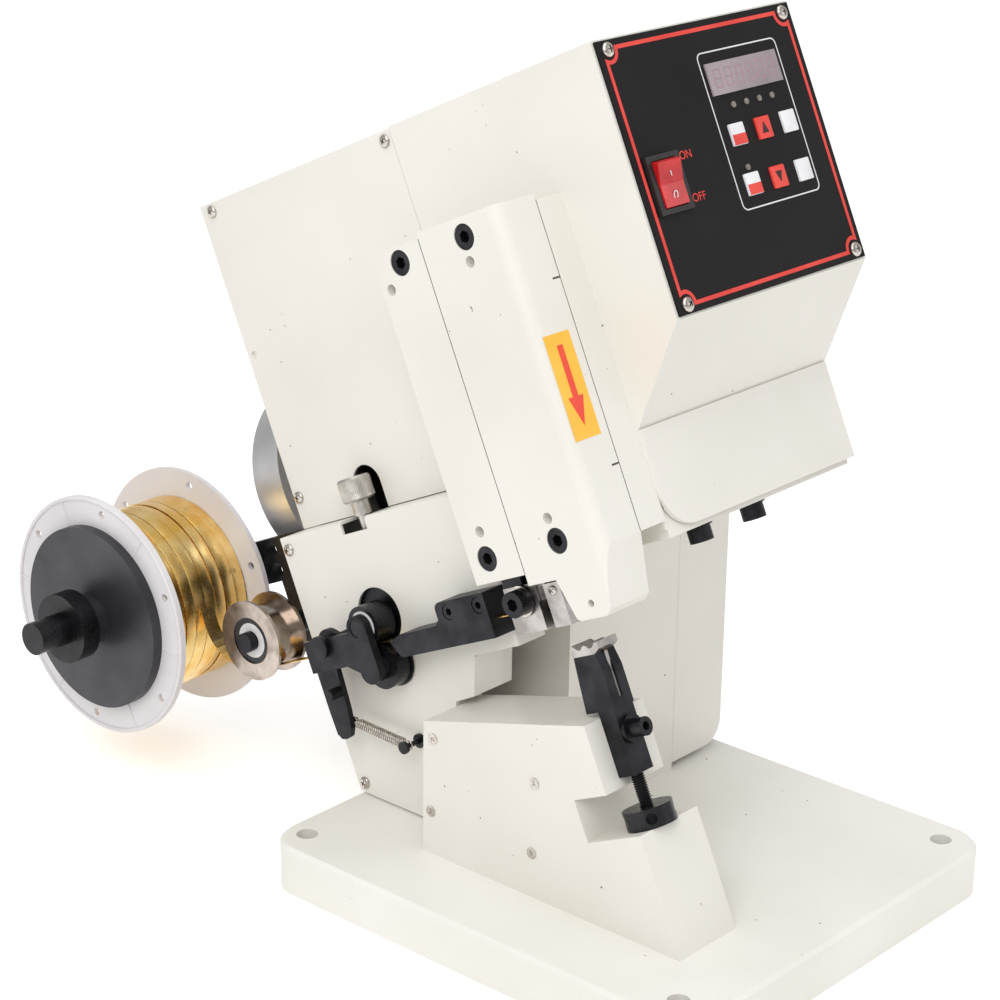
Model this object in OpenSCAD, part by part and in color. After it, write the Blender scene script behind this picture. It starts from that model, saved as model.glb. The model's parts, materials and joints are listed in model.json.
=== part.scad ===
// Terminal crimping machine: a press head that leans back on a flat base, fed with strip from a reel.
// Units are millimetres. X points to the operator's right, Y to the rear and Z up.
// The origin is the centre of the four mounting holes, on the underside of the base plate.
// Head parts are drawn upright, then leaned back: x to the right, b to the rear, h up the ram.

/* [Base plate] */
// width of the base plate
base_w = 272; // [260:1:340]
// reach of the base plate in front of the hole pattern centre
base_front = 151.3; // [148:0.1:190]
// reach of the base plate behind the hole pattern centre
base_back = 145; // [144:1:190]
// thickness of the base plate
base_t = 28; // [15:1:45]
// corner radius of the base plate
base_corner_r = 22; // [6:1:30]
// height of the sloped edge around the top of the base plate
base_bevel = 2; // [0.5:0.1:4]
// hole pattern pitch, left to right
hole_pitch_x = 234; // [210:1:240]
// hole pattern pitch, front to back
hole_pitch_y = 260; // [220:1:264]
// bore of the mounting holes
hole_d = 12; // [8:0.5:16]

/* [Machine frame] */
// angle that the head leans back
lean_deg = 25; // [24:0.1:26]
// left face of the head casting
head_left_x = -38.5; // [-38.7:0.1:-38.3]
// right face of the head casting
head_right_x = 119; // [117:0.5:119.5]
// underside of the head casting, along the ram direction
head_floor_h = 160; // [157:0.5:161]
// top of the head casting
head_top_h = 403.5; // [395:0.5:403.5]
// wall thickness of the head casting
head_wall = 12; // [10:0.5:14]
// front of the head casting, measured forward of the column line
nose_front = 134; // [131:0.5:135]
// top of the front part of the casting
nose_top_h = 343; // [341:0.5:343]
// rear face of the bearing wall
bearing_wall_back = 12; // [10:0.5:14]
// front face of the bearing wall, measured forward
bearing_wall_front = 45; // [44:0.5:46]
// front face of the column
column_y = 34; // [33:0.5:36]
// left face of the column
column_left_x = -10; // [-11:0.5:-9]
// right face of the column
column_right_x = 85; // [84:0.5:86]
// wall thickness of the column
column_wall = 10; // [8:0.5:12]

/* [Covers] */
// thickness of the sheet covers
sheet_t = 1.5; // [1:0.1:2]
// rear face of the body
body_back = 130.5; // [130:0.5:131]
// seam between the control box and the side covers, measured forward
seam_front = 33; // [32.5:0.1:34]
// lower edge of the upper side cover
upper_cover_h = 213; // [212.8:0.1:216]
// width of the open slot for the feed knob
knob_slot_w = 22; // [20.5:0.5:24]
// top of the slot for the feed knob
knob_slot_h = 239; // [237:0.5:245]
// left face of the lower side cover
low_cover_x = -59.5; // [-59.6:0.1:-59.4]
// top of the lower side cover
low_cover_h = 212.5; // [211:0.1:212.6]
// radius of the roller opening in the lower side cover
roller_hole_r = 16.6; // [15:0.1:18]
// right face of the right cover
right_cover_x = 130.5; // [128:0.5:134]
// gap between the right cover and the base
right_cover_gap = 4; // [2:0.5:8]
// bottom corner radius of the right cover
right_corner_r = 14; // [6:1:20]

/* [Control box] */
// left face of the control box
box_left_x = -40; // [-40.2:0.1:-40]
// right face of the control box
box_right_x = 121.5; // [121:0.5:126]
// top of the control box
box_top_h = 406; // [405.5:0.5:412]
// face of the box behind the panel, measured forward
box_front = 183; // [180:0.5:190]
// lower edge of the panel face
panel_bottom_h = 264; // [258:0.5:268]
// lower end of the slanted underside
slant_h = 217; // [210:0.5:222]
// face of the lower front cover, measured forward
low_front = 138; // [137.5:0.1:142]
// lower edge of the lower front cover
low_front_h = 163; // [162:0.5:166]
// corner radius of the lower front cover
low_front_r = 22; // [14:1:26]
// width of the control panel
panel_w = 158; // [155:0.5:160]
// thickness of the control panel
panel_t = 1.6; // [1.2:0.1:2]
// side length of a push button
key_size = 11.6; // [9:0.1:13]
// push button pitch, left to right
key_pitch_x = 21.9; // [18:0.1:24]
// push button pitch, up and down
key_pitch_h = 26.3; // [20:0.1:30]
// height of a button face above the panel
key_rise = 3; // [2:0.1:5]
// width of the display window
display_w = 59.2; // [50:0.1:66]
// height of the display window
display_h = 16.8; // [12:0.1:20]
// middle button column, across the machine
key_x = 68.4; // [66:0.1:71]
// upper button row, height
key_h = 344.2; // [340:0.1:347]
// middle of the display window, across the machine
display_x = 66.4; // [64:0.1:69]
// middle of the display window, height
display_mid_h = 374; // [372:0.1:380]
// middle of the switch, across the machine
switch_x = -18.4; // [-20:0.1:-16]
// middle of the switch, height
switch_h = 329.4; // [320:0.1:345]
// diameter of an indicator lamp
led_d = 3.2; // [2:0.1:5]
// width of the switch bezel
bezel_w = 25.6; // [24:0.1:28]
// height of the switch bezel
bezel_h = 30; // [28:0.1:33]

/* [Ram and guide] */
// left face of the ram housing
guide_left_x = -90; // [-91:0.5:-89]
// right face of the ram housing, on the casting
guide_right_x = -40; // [-40.2:0.1:-40]
// rear face of the ram housing, measured forward
guide_back = 43; // [42:0.5:44]
// seam between the rear guide and the cover plate, measured forward
guide_seam = 79; // [77:0.5:81]
// front face of the ram housing, measured forward
guide_front = 136; // [134:0.5:137]
// seam between the cover plate and the right strip
guide_seam_x = -60; // [-62:0.5:-58]
// top of the rear guide
guide_top_h = 342; // [340:0.5:343]
// top of the cover plate
cover_plate_top_h = 345; // [344:0.5:348]
// underside of the rear guide
guide_bottom_h = 164.5; // [164:0.1:165]
// underside of the right strip
strip_bottom_h = 169.4; // [168:0.1:171]
// lowest edge of the nose on the cover plate
nose_bottom_h = 135.5; // [134:0.1:137]
// underside of the rear step of the cover plate
nose_step_h = 158.5; // [158:0.1:160]
// corner radius of the cover plate
cover_plate_r = 7; // [3:0.5:9]
// width of the ram
ram_w = 30; // [28:0.5:31]
// depth of the ram
ram_d = 36; // [34:0.5:37]
// length of the ram
ram_len = 141; // [130:1:143]
// lower end of the ram at the top of its stroke
ram_bottom_h = 184; // [183.5:0.5:186]
// running clearance on each side of the ram
ram_clear = 0.05; // [0.02:0.01:0.1]
// travel of the ram
stroke = 25; // [20:0.5:25]
// head diameter of the housing screws
m8_head_d = 13; // [12:0.1:13.6]
// shank diameter of the housing screws
m8_d = 8; // [7:0.1:8.4]

/* [Crank drive] */
// position of the crank axis across the machine
crank_x = 40; // [38:0.5:42]
// height of the crank axis
crank_h = 236; // [235:0.5:237]
// radius of the crankshaft
shaft_r = 15; // [12:0.5:16]
// radius of the crank web
web_r = 26; // [24:0.5:28]
// radius of the crank pin
pin_r = 8; // [6:0.5:9]
// radius of the crank pulley
crank_pulley_r = 45; // [40:0.5:48]
// radius of the motor pulley
motor_pulley_r = 16; // [14:0.5:20]
// width of the belt
belt_w = 12; // [8:0.5:14]
// thickness of the belt
belt_t = 4; // [2.5:0.5:5]
// radius of the flywheel
flywheel_r = 59.8; // [50:0.1:62]
// width of the flywheel rim
flywheel_w = 23.6; // [18:0.1:26]
// front face of the flywheel
flywheel_b = 161; // [158:0.5:165]
// radius of the motor
motor_r = 36; // [30:0.5:36.5]
// length of the motor
motor_len = 60; // [50:0.5:61]
// height of the motor axis
motor_h = 112; // [111:0.5:113]

/* [Anvil and lower die] */
// left face of the anvil block
anvil_left_x = -87; // [-90:0.5:-85]
// right face of the anvil block
anvil_right_x = -40; // [-42:0.5:-30]
// rear face of the anvil block
anvil_back_y = 70.6; // [70:0.1:71]
// height of the rear face of the anvil block
anvil_back_z = 77.2; // [75:0.1:78]
// inclined seat of the die holder, measured forward
anvil_seat = 83; // [82.8:0.1:83.2]
// upper edge of the inclined seat
anvil_edge_h = 82.2; // [81:0.1:82.6]
// ceiling of the notch
notch_top_h = 45; // [43:0.5:47]
// floor of the notch
notch_floor_h = 21.8; // [20:0.1:23]
// back wall of the notch, measured forward
notch_back = 60; // [58:0.5:66]
// front of the toe, measured forward
toe_front = 97; // [95:0.5:104]
// centre plane of the strip and the dies
feed_x = -66.5; // [-67:0.1:-66]
// width of the die holder
holder_w = 15.3; // [14.5:0.1:16]
// thickness of the holder shank
holder_t = 11; // [10:0.1:12]
// lower end of the die holder
holder_bottom_h = 50; // [48:0.5:52]
// underside of the holder head
holder_head_h = 85.4; // [85:0.1:86]
// top of the holder head
holder_top_h = 115.3; // [114:0.1:116]
// height of the lower die
die_h = 5.9; // [5:0.1:6.2]
// radius of the capstan nut
nut_r = 13.5; // [11:0.1:14]
// thickness of the capstan nut
nut_t = 10.5; // [8:0.1:12]
// radius of the adjusting screw
screw_r = 3.65; // [3:0.05:4.2]
// thread pitch of the adjusting screw
screw_pitch = 1.25; // [1:0.05:1.5]

/* [Strip feed] */
// height of the feed line, the middle of the strip
feed_h = 143.6; // [143.4:0.1:143.7]
// width of the strip
strip_w = 10; // [6:0.5:10.5]
// thickness of the strip
strip_t = 0.35; // [0.25:0.05:0.4]
// radius of the drive roller
drive_r = 11.4; // [11:0.1:12]
// radius of the pressure roller
press_r = 12.7; // [12:0.1:13.2]
// running gap between the strip and each roller
strip_gap = 0.05; // [0.02:0.01:0.1]
// distance of the roller axes behind the column line
roller_b = 67.7; // [67.4:0.1:68]
// distance of the lever pivot behind the column line
pivot_b = 99.2; // [98.5:0.1:100]
// height of the lever pivot
pivot_h = 149.9; // [149:0.1:151]
// radius of the feed shaft
feed_shaft_r = 5; // [4:0.1:6]
// outer diameter of the tension spring
spring_od = 6; // [5:0.1:7]
// wire diameter of the tension spring
spring_wire = 0.9; // [0.7:0.05:1]
// number of curls of the tension spring
spring_curls = 24; // [18:1:25]
// position of the feed knob axis
knob_x = -49; // [-49.2:0.1:-48.8]
// diameter of the feed knob
knob_d = 19.2; // [16:0.1:19.4]
// height of the feed knob
knob_len = 13.5; // [10:0.1:16]
// top of the guide bar
bar_top_h = 159; // [157:0.5:160]
// thickness of the guide bar
bar_t = 16.5; // [15.5:0.1:18]

/* [Cutting die] */
// left face of the cutting die
die_left_x = -76; // [-77:0.5:-75]
// front end of the cutting die, measured forward
die_front = 86; // [85.5:0.1:86.4]
// rear end of the cutting die, measured forward
die_back = 46; // [45:0.5:47]
// top of the rear part of the cutting die
die_top_h = 158; // [157:0.1:158.2]
// underside of the cutting die
die_bottom_h = 132.8; // [131:0.1:134]
// width of the cutter groove
groove_w = 6.3; // [5:0.1:6.4]
// head diameter of the die clamp screw
clamp_head_d = 14; // [12:0.1:15]

/* [Reel and guide pulley] */
// distance of the reel axis behind the column line
reel_b = 257.6; // [256:0.5:264]
// height of the reel axis
reel_h = 199.6; // [198:0.2:202]
// radius of the reel flanges
reel_r = 72.3; // [66:0.1:74]
// front face of the reel
reel_front_x = -102; // [-104:0.5:-100]
// rear face of the reel
reel_back_x = -31; // [-32:0.5:-30]
// thickness of the reel flanges
reel_flange_t = 3; // [2:0.1:4]
// outer radius of the wound strip
wound_r = 55.6; // [50:0.1:56.2]
// number of loops in the outer layer of strip
wound_loops = 7; // [5:1:8]
// radius of the black hub disc
hub_disc_r = 55; // [45:0.5:60]
// radius of the reel shaft
reel_shaft_r = 9.6; // [8:0.1:11]
// left end of the reel shaft
reel_shaft_end_x = -152; // [-156:0.5:-146]
// radius of the shaft collar
collar_r = 20.7; // [16:0.1:24]
// distance of the pulley axis behind the column line
pulley_b = 161.4; // [161:0.1:164]
// radius of the pulley drum
pulley_drum_r = 17.8; // [16:0.1:18.6]
// radius of the pulley flanges
pulley_flange_r = 23.5; // [21:0.1:25]
// left face of the guide pulley
pulley_left_x = -77.5; // [-79:0.5:-76]
// right face of the guide pulley
pulley_right_x = -56; // [-57:0.5:-55]
// left face of the reel bracket
bracket_x = -26; // [-27:0.5:-25]
// thickness of the reel bracket
bracket_t = 8; // [6:0.5:8]

/* [Hidden] */
// every sub-part, in the order in which it is built

// facets of true cylinders
round_fn = 64;
// small overlap that makes a cut break through a face
cut = 1;
// running clearance of small turning parts
turn_clear = 0.05;
// clearance of fixed fits
fit_clear = 0.05;
// clearance where parts pass without guiding each other
free_clear = 1;
// half of a length
half_share = 0.5;

// colours
cream = [0.90, 0.89, 0.82];
black_oxide = [0.08, 0.08, 0.09];
steel = [0.72, 0.73, 0.74];
satin = [0.55, 0.57, 0.58];
gold = [0.86, 0.62, 0.22];
reel_white = [0.93, 0.93, 0.93];
red = [0.80, 0.08, 0.07];
panel_black = [0.06, 0.06, 0.07];
white = [0.95, 0.95, 0.95];

// sine and cosine of the lean
ls = sin(lean_deg);
lc = cos(lean_deg);

// level coordinates (y, z) of a point given in leaned coordinates (b, h)
function level(b, h) = [b * lc + h * ls, h * lc - b * ls];
// leaned coordinates (b, h) of a point given in level coordinates (y, z)
function leaned(y, z) = [y * lc - z * ls, y * ls + z * lc];
// leaned height of the level plane a distance z above the base, at distance b
function base_line(b, z) = (z + b * ls) / lc;
// leaned height of the upright plane y at distance b
function plane_line(b, y) = (y - b * lc) / ls;
// unit vector along v
function unit(v) = v / norm(v);
// inward normal of an edge of an anticlockwise outline
function edge_in(p, q) = let (d = unit(q - p)) [-d[1], d[0]];
// corner of an outline moved inwards by t
function corner_in(a, p, q, t) = let (m = edge_in(a, p), n = edge_in(p, q)) p + (m + n) * t / (1 + m * n);
// anticlockwise outline moved inwards by t
function inset(pts, t) = let (n = len(pts)) [for (i = [0:n - 1])
  corner_in(pts[(i + n - 1) % n], pts[i], pts[(i + 1) % n], t)];

// places children in the leaned frame of the head
module lean() translate([0, 0, base_t]) rotate([-lean_deg, 0, 0]) children();
// places children on the top of the base plate
module on_base() translate([0, 0, base_t]) children();
// extrudes a side outline from x0 to x1
module side(x0, x1) translate([x0, 0, 0]) rotate([90, 0, 90]) linear_extrude(height = x1 - x0) children();
// extrudes a plan outline (x, b) from h0 to h1
module plan(h0, h1) translate([0, 0, h0]) linear_extrude(height = h1 - h0) children();
// extrudes a front outline (x, h) from b0 to b1
module face(b0, b1) translate([0, b1, 0]) rotate([90, 0, 0]) linear_extrude(height = b1 - b0) children();
// box between two corners
module block(x, b, h) translate([x[0], b[0], h[0]]) cube([x[1] - x[0], b[1] - b[0], h[1] - h[0]]);
// cylinder along x through the point (b, h)
module rod_x(x0, x1, b, h, r) translate([x0, b, h]) rotate([0, 90, 0]) cylinder(h = x1 - x0, r = r, $fn = round_fn);
// cylinder along b through the point (x, h)
module rod_b(b0, b1, x, h, r) translate([x, b0, h]) rotate([-90, 0, 0]) cylinder(h = b1 - b0, r = r, $fn = round_fn);
// cylinder along h through the point (x, b)
module rod_h(h0, h1, x, b, r) translate([x, b, h0]) cylinder(h = h1 - h0, r = r, $fn = round_fn);
// rectangle between two corners with rounded corners
module round_rect(x, y, r) {
  translate([x[0] + r, y[0]]) square([x[1] - x[0] - 2 * r, y[1] - y[0]]);
  translate([x[0], y[0] + r]) square([x[1] - x[0], y[1] - y[0] - 2 * r]);
  for (i = [0, 1], j = [0, 1])
    translate([x[i] + (i == 0 ? r : -r), y[j] + (j == 0 ? r : -r)]) circle(r = r, $fn = round_fn);
}
// corner left outside a rounding of radius r, in quadrant (sx, sy)
module corner_cut(r, sx, sy) difference() {
  translate([min(0, sx * (r + cut)), min(0, sy * (r + cut))]) square(r + cut);
  circle(r = r, $fn = round_fn);
}
// socket screw along x with its head to the left
module socket_x(head_x, seat_x, end_x, b, h, head_r, r) difference() {
  union() {
    rod_x(head_x, seat_x, b, h, head_r);
    rod_x(seat_x - cut, end_x, b, h, r);
  }
  translate([head_x - cut, b, h]) rotate([0, 90, 0])
    cylinder(h = cut + socket_share * (seat_x - head_x), r = key_share * head_r, $fn = 6);
}
// depth of a socket as a share of the head height
socket_share = 0.55;
// size of a hexagon socket as a share of the head radius
key_share = 0.52;
// counterbore radius as a share of the screw head radius
counterbore_share = 1.05;

// half of the base width
base_hw = base_w / 2;

// cutter for one straight top edge, in a section (across, up), outwards along s
module edge_slope(at, s) polygon([[at + s * cut, base_t + cut], [at - s * (base_bevel + cut), base_t + cut],
  [at + s * cut, base_t - base_bevel - cut]]);

module base_plate() color(cream) difference() {
  plan(0, base_t) round_rect([-base_hw, base_hw], [-base_front, base_back], base_corner_r);
  for (s = [-1, 1]) face(-base_front + base_corner_r, base_back - base_corner_r) edge_slope(s * base_hw, s);
  side(-base_hw + base_corner_r, base_hw - base_corner_r) edge_slope(-base_front, -1);
  side(-base_hw + base_corner_r, base_hw - base_corner_r) edge_slope(base_back, 1);
  for (x = [-1, 1], y = [-1, 1])
    translate([x * (base_hw - base_corner_r), y < 0 ? base_corner_r - base_front : base_back - base_corner_r,
      base_t - base_bevel]) difference() {
      translate([min(0, x * (base_corner_r + cut)), min(0, y * (base_corner_r + cut)), 0])
        cube([base_corner_r + cut, base_corner_r + cut, base_bevel + cut]);
      translate([0, 0, -cut]) cylinder(h = base_bevel + 2 * cut, r1 = base_corner_r + cut,
        r2 = base_corner_r - base_bevel - cut, $fn = round_fn);
    }
  for (x = [-1, 1], y = [-1, 1])
    rod_h(-cut, base_t + cut, x * hole_pitch_x / 2, y * hole_pitch_y / 2, hole_d / 2);
}

// rear face of the casting, where the rear cover seats
frame_back = body_back - sheet_t;
// front of the head box
frame_front = -seam_front;
// inner height of the head floor
head_inner_h = head_floor_h + head_wall;
// radius of the crank pin circle
crank_r = stroke / 2;
// floor thickness of the column
column_floor = 12;
// web that carries the motor
motor_web_t = 10;
// front face of the motor
motor_b = 24;
// position of the motor axis across the machine
motor_shift = 2;
motor_x = crank_x - motor_shift;
// thickness of the yoke bar, front to back
yoke_t = 24;
// centre of the ram, measured forward
ram_mid = 80;
// wall of the yoke around its window
yoke_rim = 8;
// yoke window at rest
window_low = crank_h - crank_r - pin_r - free_clear;
window_high = crank_h + crank_r + pin_r + stroke + free_clear;
window_half = crank_r + pin_r + free_clear;
// yoke edges at rest
yoke_low = window_low - yoke_rim;
yoke_high = window_high + yoke_rim;
yoke_right = crank_x + window_half + yoke_rim;
// space that the yoke sweeps
yoke_room_low = yoke_low - stroke - free_clear;
yoke_room_high = yoke_high + free_clear;
// web of the crankshaft behind the pin, measured forward
web_gap = 3;
web_t = 12;
web_back = bearing_wall_front + web_gap;
web_front = web_back + web_t;
bearing_wall_t = 10;
bearing_r = shaft_r + bearing_wall_t;
pad_inset = 1;
nose_wall = 14;
nose_room_gap = 4;
nose_room_left = guide_right_x + nose_wall;
nose_room_right = yoke_right + nose_room_gap;
// length that the shares of the housing's screws and dowels are taken of
guide_reach = 100;
// how far forward, how high
housing_screw_shares = [[0.616, 3.337], [1.102, 3.35], [0.562, 1.769], [1.077, 1.775]];
housing_screws_at = guide_reach * housing_screw_shares;
housing_screw_gap = 2;
housing_screw_end = nose_room_left - housing_screw_gap;
head_bolt_front = 120;
head_bolt_x = [0, 45.6];
head_bolt_len = 9;
cover_gap = 1;

// outline of the column, from the level plane y, with its floor at height z
function column_outline(y, z, back, top) = [leaned(y, z), [back, base_line(back, z)], [back, top],
  [(y - top * ls) / lc, top]];

module main_frame() color(cream) lean() difference() {
  union() {
    block([head_left_x, head_right_x], [frame_front, frame_back], [head_floor_h, head_top_h]);
    block([head_left_x, head_right_x - sheet_t], [-nose_front, frame_front + cut], [head_floor_h, nose_top_h]);
    block([guide_right_x, head_left_x + cut], [-nose_front, -guide_back - pad_inset],
      [guide_bottom_h, nose_top_h - pad_inset]);
    side(column_left_x, column_right_x) polygon(column_outline(column_y, 0, frame_back, head_floor_h + cut));
  }
  // belt room of the head, open to the left
  block([head_left_x - cut, head_right_x - head_wall], [-bearing_wall_back, frame_back - head_wall],
    [head_inner_h, head_top_h - head_wall]);
  // crank room in the nose block, open to the front
  block([nose_room_left, nose_room_right], [-nose_front - cut, -bearing_wall_front],
    [yoke_room_low - free_clear, yoke_room_high + free_clear]);
  // window for the yoke
  block([guide_right_x - cut, nose_room_left + cut],
    [-ram_mid - yoke_t / 2 - free_clear, -ram_mid + yoke_t / 2 + free_clear], [yoke_room_low, yoke_room_high]);
  // bearing seats
  rod_b(-bearing_wall_front - cut, cut - bearing_wall_back, crank_x, crank_h, bearing_r + fit_clear);
  rod_b(frame_back - head_wall - cut, frame_back + cut, crank_x, crank_h, bearing_r + fit_clear);
  // inside of the column, up to the belt room
  difference() {
    side(column_left_x + column_wall, column_right_x - column_wall)
      polygon(column_outline(column_y + column_wall, column_floor, frame_back + cut, head_inner_h + cut));
    block([column_left_x, column_right_x], [motor_b - motor_web_t, motor_b], [0, head_inner_h + 2 * cut]);
    block([column_left_x, column_right_x], [-head_top_h, motor_b], [head_floor_h, head_top_h]);
  }
  // motor spigot in its web
  rod_b(motor_b - motor_web_t - cut, motor_b + cut, motor_x, motor_h, motor_r / 2);
  // seats of the housing screws and the lower head bolts
  for (p = housing_screws_at) rod_x(guide_right_x - cut, nose_room_left - cut, -p[0], p[1], m8_d / 2 + fit_clear);
  for (x = head_bolt_x)
    rod_h(head_floor_h - cut, head_floor_h + head_bolt_len + cut, x, -head_bolt_front, m8_d / 2 + fit_clear);
}

// outline of the right cover in the leaned frame
right_outline = [leaned(column_y, right_cover_gap), [frame_back, base_line(frame_back, right_cover_gap)],
  [frame_back, head_top_h], [frame_front, head_top_h], [frame_front, head_floor_h],
  [(column_y - head_floor_h * ls) / lc, head_floor_h]];
// left edge of the front flange of the right cover
right_flange_gap = 0.2;
right_flange_x = column_right_x + right_flange_gap;

module right_cover() color(cream) lean() difference() {
  side(right_flange_x, right_cover_x) polygon(right_outline);
  side(right_flange_x - cut, right_cover_x - sheet_t) polygon(inset(right_outline, sheet_t));
  // the front flange is wide, the other flanges end at the casting
  block([right_flange_x - cut, head_right_x], [frame_front - cut, body_back + cut], [head_floor_h, head_top_h + cut]);
  block([right_flange_x - cut, head_right_x], [column_y, body_back + cut], [0, head_floor_h + cut]);
  // rounded lower corner of the front flange
  rotate([lean_deg, 0, 0]) translate([right_cover_x - right_corner_r, column_y + base_t, right_cover_gap + right_corner_r])
    rotate([90, 0, 0]) linear_extrude(height = 2 * base_t) corner_cut(right_corner_r, 1, -1);
}

// slot in the upper side cover, from the lower edge up
module knob_slot() side(box_left_x - cut, head_left_x + cut) {
  translate([roller_b - knob_slot_w / 2, upper_cover_h - cut])
    square([knob_slot_w, knob_slot_h - knob_slot_w / 2 - upper_cover_h + cut]);
  translate([roller_b, knob_slot_h - knob_slot_w / 2]) circle(d = knob_slot_w, $fn = round_fn);
}
// small hole in the upper side cover
peep_hole_r = 2.2;
peep_hole_h = 316;
peep_hole_inset = 5.5;

module upper_side_cover() color(cream) lean() difference() {
  block([head_left_x - sheet_t, head_left_x], [frame_front, body_back], [upper_cover_h, head_top_h + sheet_t]);
  knob_slot();
  rod_x(box_left_x - cut, head_left_x + cut, body_back - peep_hole_inset, peep_hole_h, peep_hole_r);
}

// outline of the lower side cover: behind the anvil, back, top, front edge, ledge, return
return_y = 59;
return_low_z = 86;
return_right_x = -29;
ledge_h = 125;
ledge_front = 28;
throat_y = 72.2;
throat_h = 102;
low_front_gap = 1.5;
low_front_b = low_front_gap - guide_back;
ledge_gap = 4;
low_outline = [leaned(throat_y, cover_gap), [frame_back, base_line(frame_back, cover_gap)],
  [frame_back, low_cover_h], [low_front_b, low_cover_h], [low_front_b, guide_bottom_h - ledge_gap],
  [-ledge_front, guide_bottom_h - ledge_gap], [-ledge_front, ledge_h], [(return_y - ledge_h * ls) / lc, ledge_h],
  leaned(return_y, return_low_z), [(throat_y - throat_h * ls) / lc, throat_h]];
// rounding of the upper edge of the lower side cover
low_cover_r = 2.5;
// notch for the feed rod
notch_low_h = 205.3;
notch_half = 10.2;
roller_hole_shift = [2.3, 1.6];

module lower_side_cover() color(cream) lean() difference() {
  union() {
    difference() {
      side(low_cover_x, head_left_x) polygon(low_outline);
      side(low_cover_x + sheet_t, head_left_x + cut) polygon(inset(low_outline, sheet_t));
    }
    side(head_left_x - cut, return_right_x) polygon([leaned(return_y, return_low_z),
      leaned(return_y + sheet_t, return_low_z + sheet_t), leaned(return_y + sheet_t, level(0, ledge_h)[1] - sheet_t),
      [(return_y - ledge_h * ls) / lc, ledge_h]]);
  }
  face(-nose_front, body_back + cut) translate([low_cover_x + low_cover_r, low_cover_h - low_cover_r])
    corner_cut(low_cover_r, -1, 1);
  block([low_cover_x - cut, head_left_x + cut], [roller_b - notch_half, roller_b + notch_half],
    [notch_low_h, low_cover_h + cut]);
  // room for the wall of the control box
  block([box_left_x, head_left_x + cut], [low_front_b - cut, box_back], [low_front_h, low_cover_h + cut]);
  rod_x(low_cover_x - cut, low_cover_x + sheet_t + cut, roller_b + roller_hole_shift[0], drive_h + roller_hole_shift[1],
    roller_hole_r);
  rod_x(low_cover_x - cut, low_cover_x + sheet_t + cut, pivot_b, pivot_h, pivot_r + 4 * fit_clear);
  rod_x(low_cover_x - cut, low_cover_x + sheet_t + cut, anchor_b, anchor_h, anchor_r + fit_clear);
  for (p = bar_screws_at)
    rod_x(low_cover_x - cut, low_cover_x + sheet_t + cut, p[0], p[1], bar_screw_r + fit_clear);
}

rear_hole_step = 4;
module rear_cover() color(cream) lean() {
  difference() {
    face(frame_back, body_back) polygon([[low_cover_x, base_line(body_back, cover_gap)],
      [right_cover_x, base_line(body_back, cover_gap)], [right_cover_x, head_top_h], [head_left_x, head_top_h],
      [head_left_x, low_cover_h], [low_cover_x, low_cover_h]]);
    rod_b(frame_back - cut, body_back + cut, crank_x, crank_h, bearing_r - rear_hole_step);
  }
  block([head_left_x, right_cover_x], [frame_front, body_back], [head_top_h, head_top_h + sheet_t]);
}

// outline of the control box: front is to the left
box_gap = 0.3;
box_back = -seam_front - box_gap;
low_face = low_front - sheet_t;
box_outline = [[-low_face, low_front_h], [box_back, low_front_h], [box_back, box_top_h], [-box_front, box_top_h],
  [-box_front, panel_bottom_h], [-low_face, slant_h]];
// cut-out behind the panel
panel_lip = 8;
// panel centre
panel_mid_x = (box_left_x + box_right_x) / 2;
panel_rim = 1;
panel_low_h = panel_bottom_h + panel_rim;
panel_high_h = box_top_h - panel_rim;

// rounded lower left corner of the front covers
module low_corner() face(-low_front - cut, -low_face + sheet_t)
  translate([box_left_x + low_front_r, low_front_h + low_front_r]) corner_cut(low_front_r, -1, -1);

module control_box() color(cream) lean() difference() {
  side(box_left_x, box_right_x) polygon(box_outline);
  side(box_left_x + sheet_t, box_right_x - sheet_t) polygon(inset(box_outline, sheet_t));
  // open to the casting behind and below
  block([box_left_x + sheet_t, box_right_x - sheet_t], [box_back - 2 * sheet_t, cut],
    [low_front_h - cut, box_top_h - sheet_t]);
  block([box_left_x + sheet_t, box_right_x - sheet_t], [-low_face + sheet_t, cut],
    [low_front_h - cut, low_front_h + 2 * sheet_t]);
  // opening around the housing pad of the casting
  block([box_left_x - cut, box_left_x + sheet_t + cut], [-nose_front - sheet_t, -guide_back - pad_inset + fit_clear],
    [low_front_h - cut, nose_top_h - pad_inset + fit_clear]);
  // opening behind the panel
  block([box_left_x + panel_lip, box_right_x - panel_lip], [-box_front - cut, -box_front + sheet_t + cut],
    [panel_bottom_h + panel_lip, box_top_h - panel_lip]);
  low_corner();
}

module lower_front_cover() color(cream) lean() difference() {
  block([box_left_x, box_right_x - sheet_t], [-low_front, -low_face], [low_front_h, slant_h]);
  low_corner();
}

// front face of the panel
panel_face = box_front + panel_t;
key_xs = [key_x - key_pitch_x, key_x, key_x + key_pitch_x];
key_hs = [key_h, key_h - key_pitch_h];
// positions of the indicator lamps
led_inset = 4;
led_rise_h = 15.2;
led_gap = 3;
led_xs = [for (i = [0:3]) key_x - key_pitch_x + led_inset + i * key_pitch_x / 2];
led_h = key_h + led_rise_h;

module control_panel() color(panel_black) lean() difference() {
  block([panel_mid_x - panel_w / 2, panel_mid_x + panel_w / 2], [-panel_face, -box_front], [panel_low_h, panel_high_h]);
  for (x = key_xs, h = key_hs)
    block([x - key_half - key_gap, x + key_half + key_gap], [-panel_face - cut, cut - box_front],
      [h - key_half - key_gap, h + key_half + key_gap]);
  block([switch_x - rocker_half_w - key_gap, switch_x + rocker_half_w + key_gap], [-panel_face - cut, cut - box_front],
    [switch_h - rocker_r - key_gap, switch_h + rocker_r + key_gap]);
}
key_half = key_size / 2;
// gap around each button
key_gap = 0.15;
// lip that retains a button behind the panel
key_lip = 1;

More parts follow.
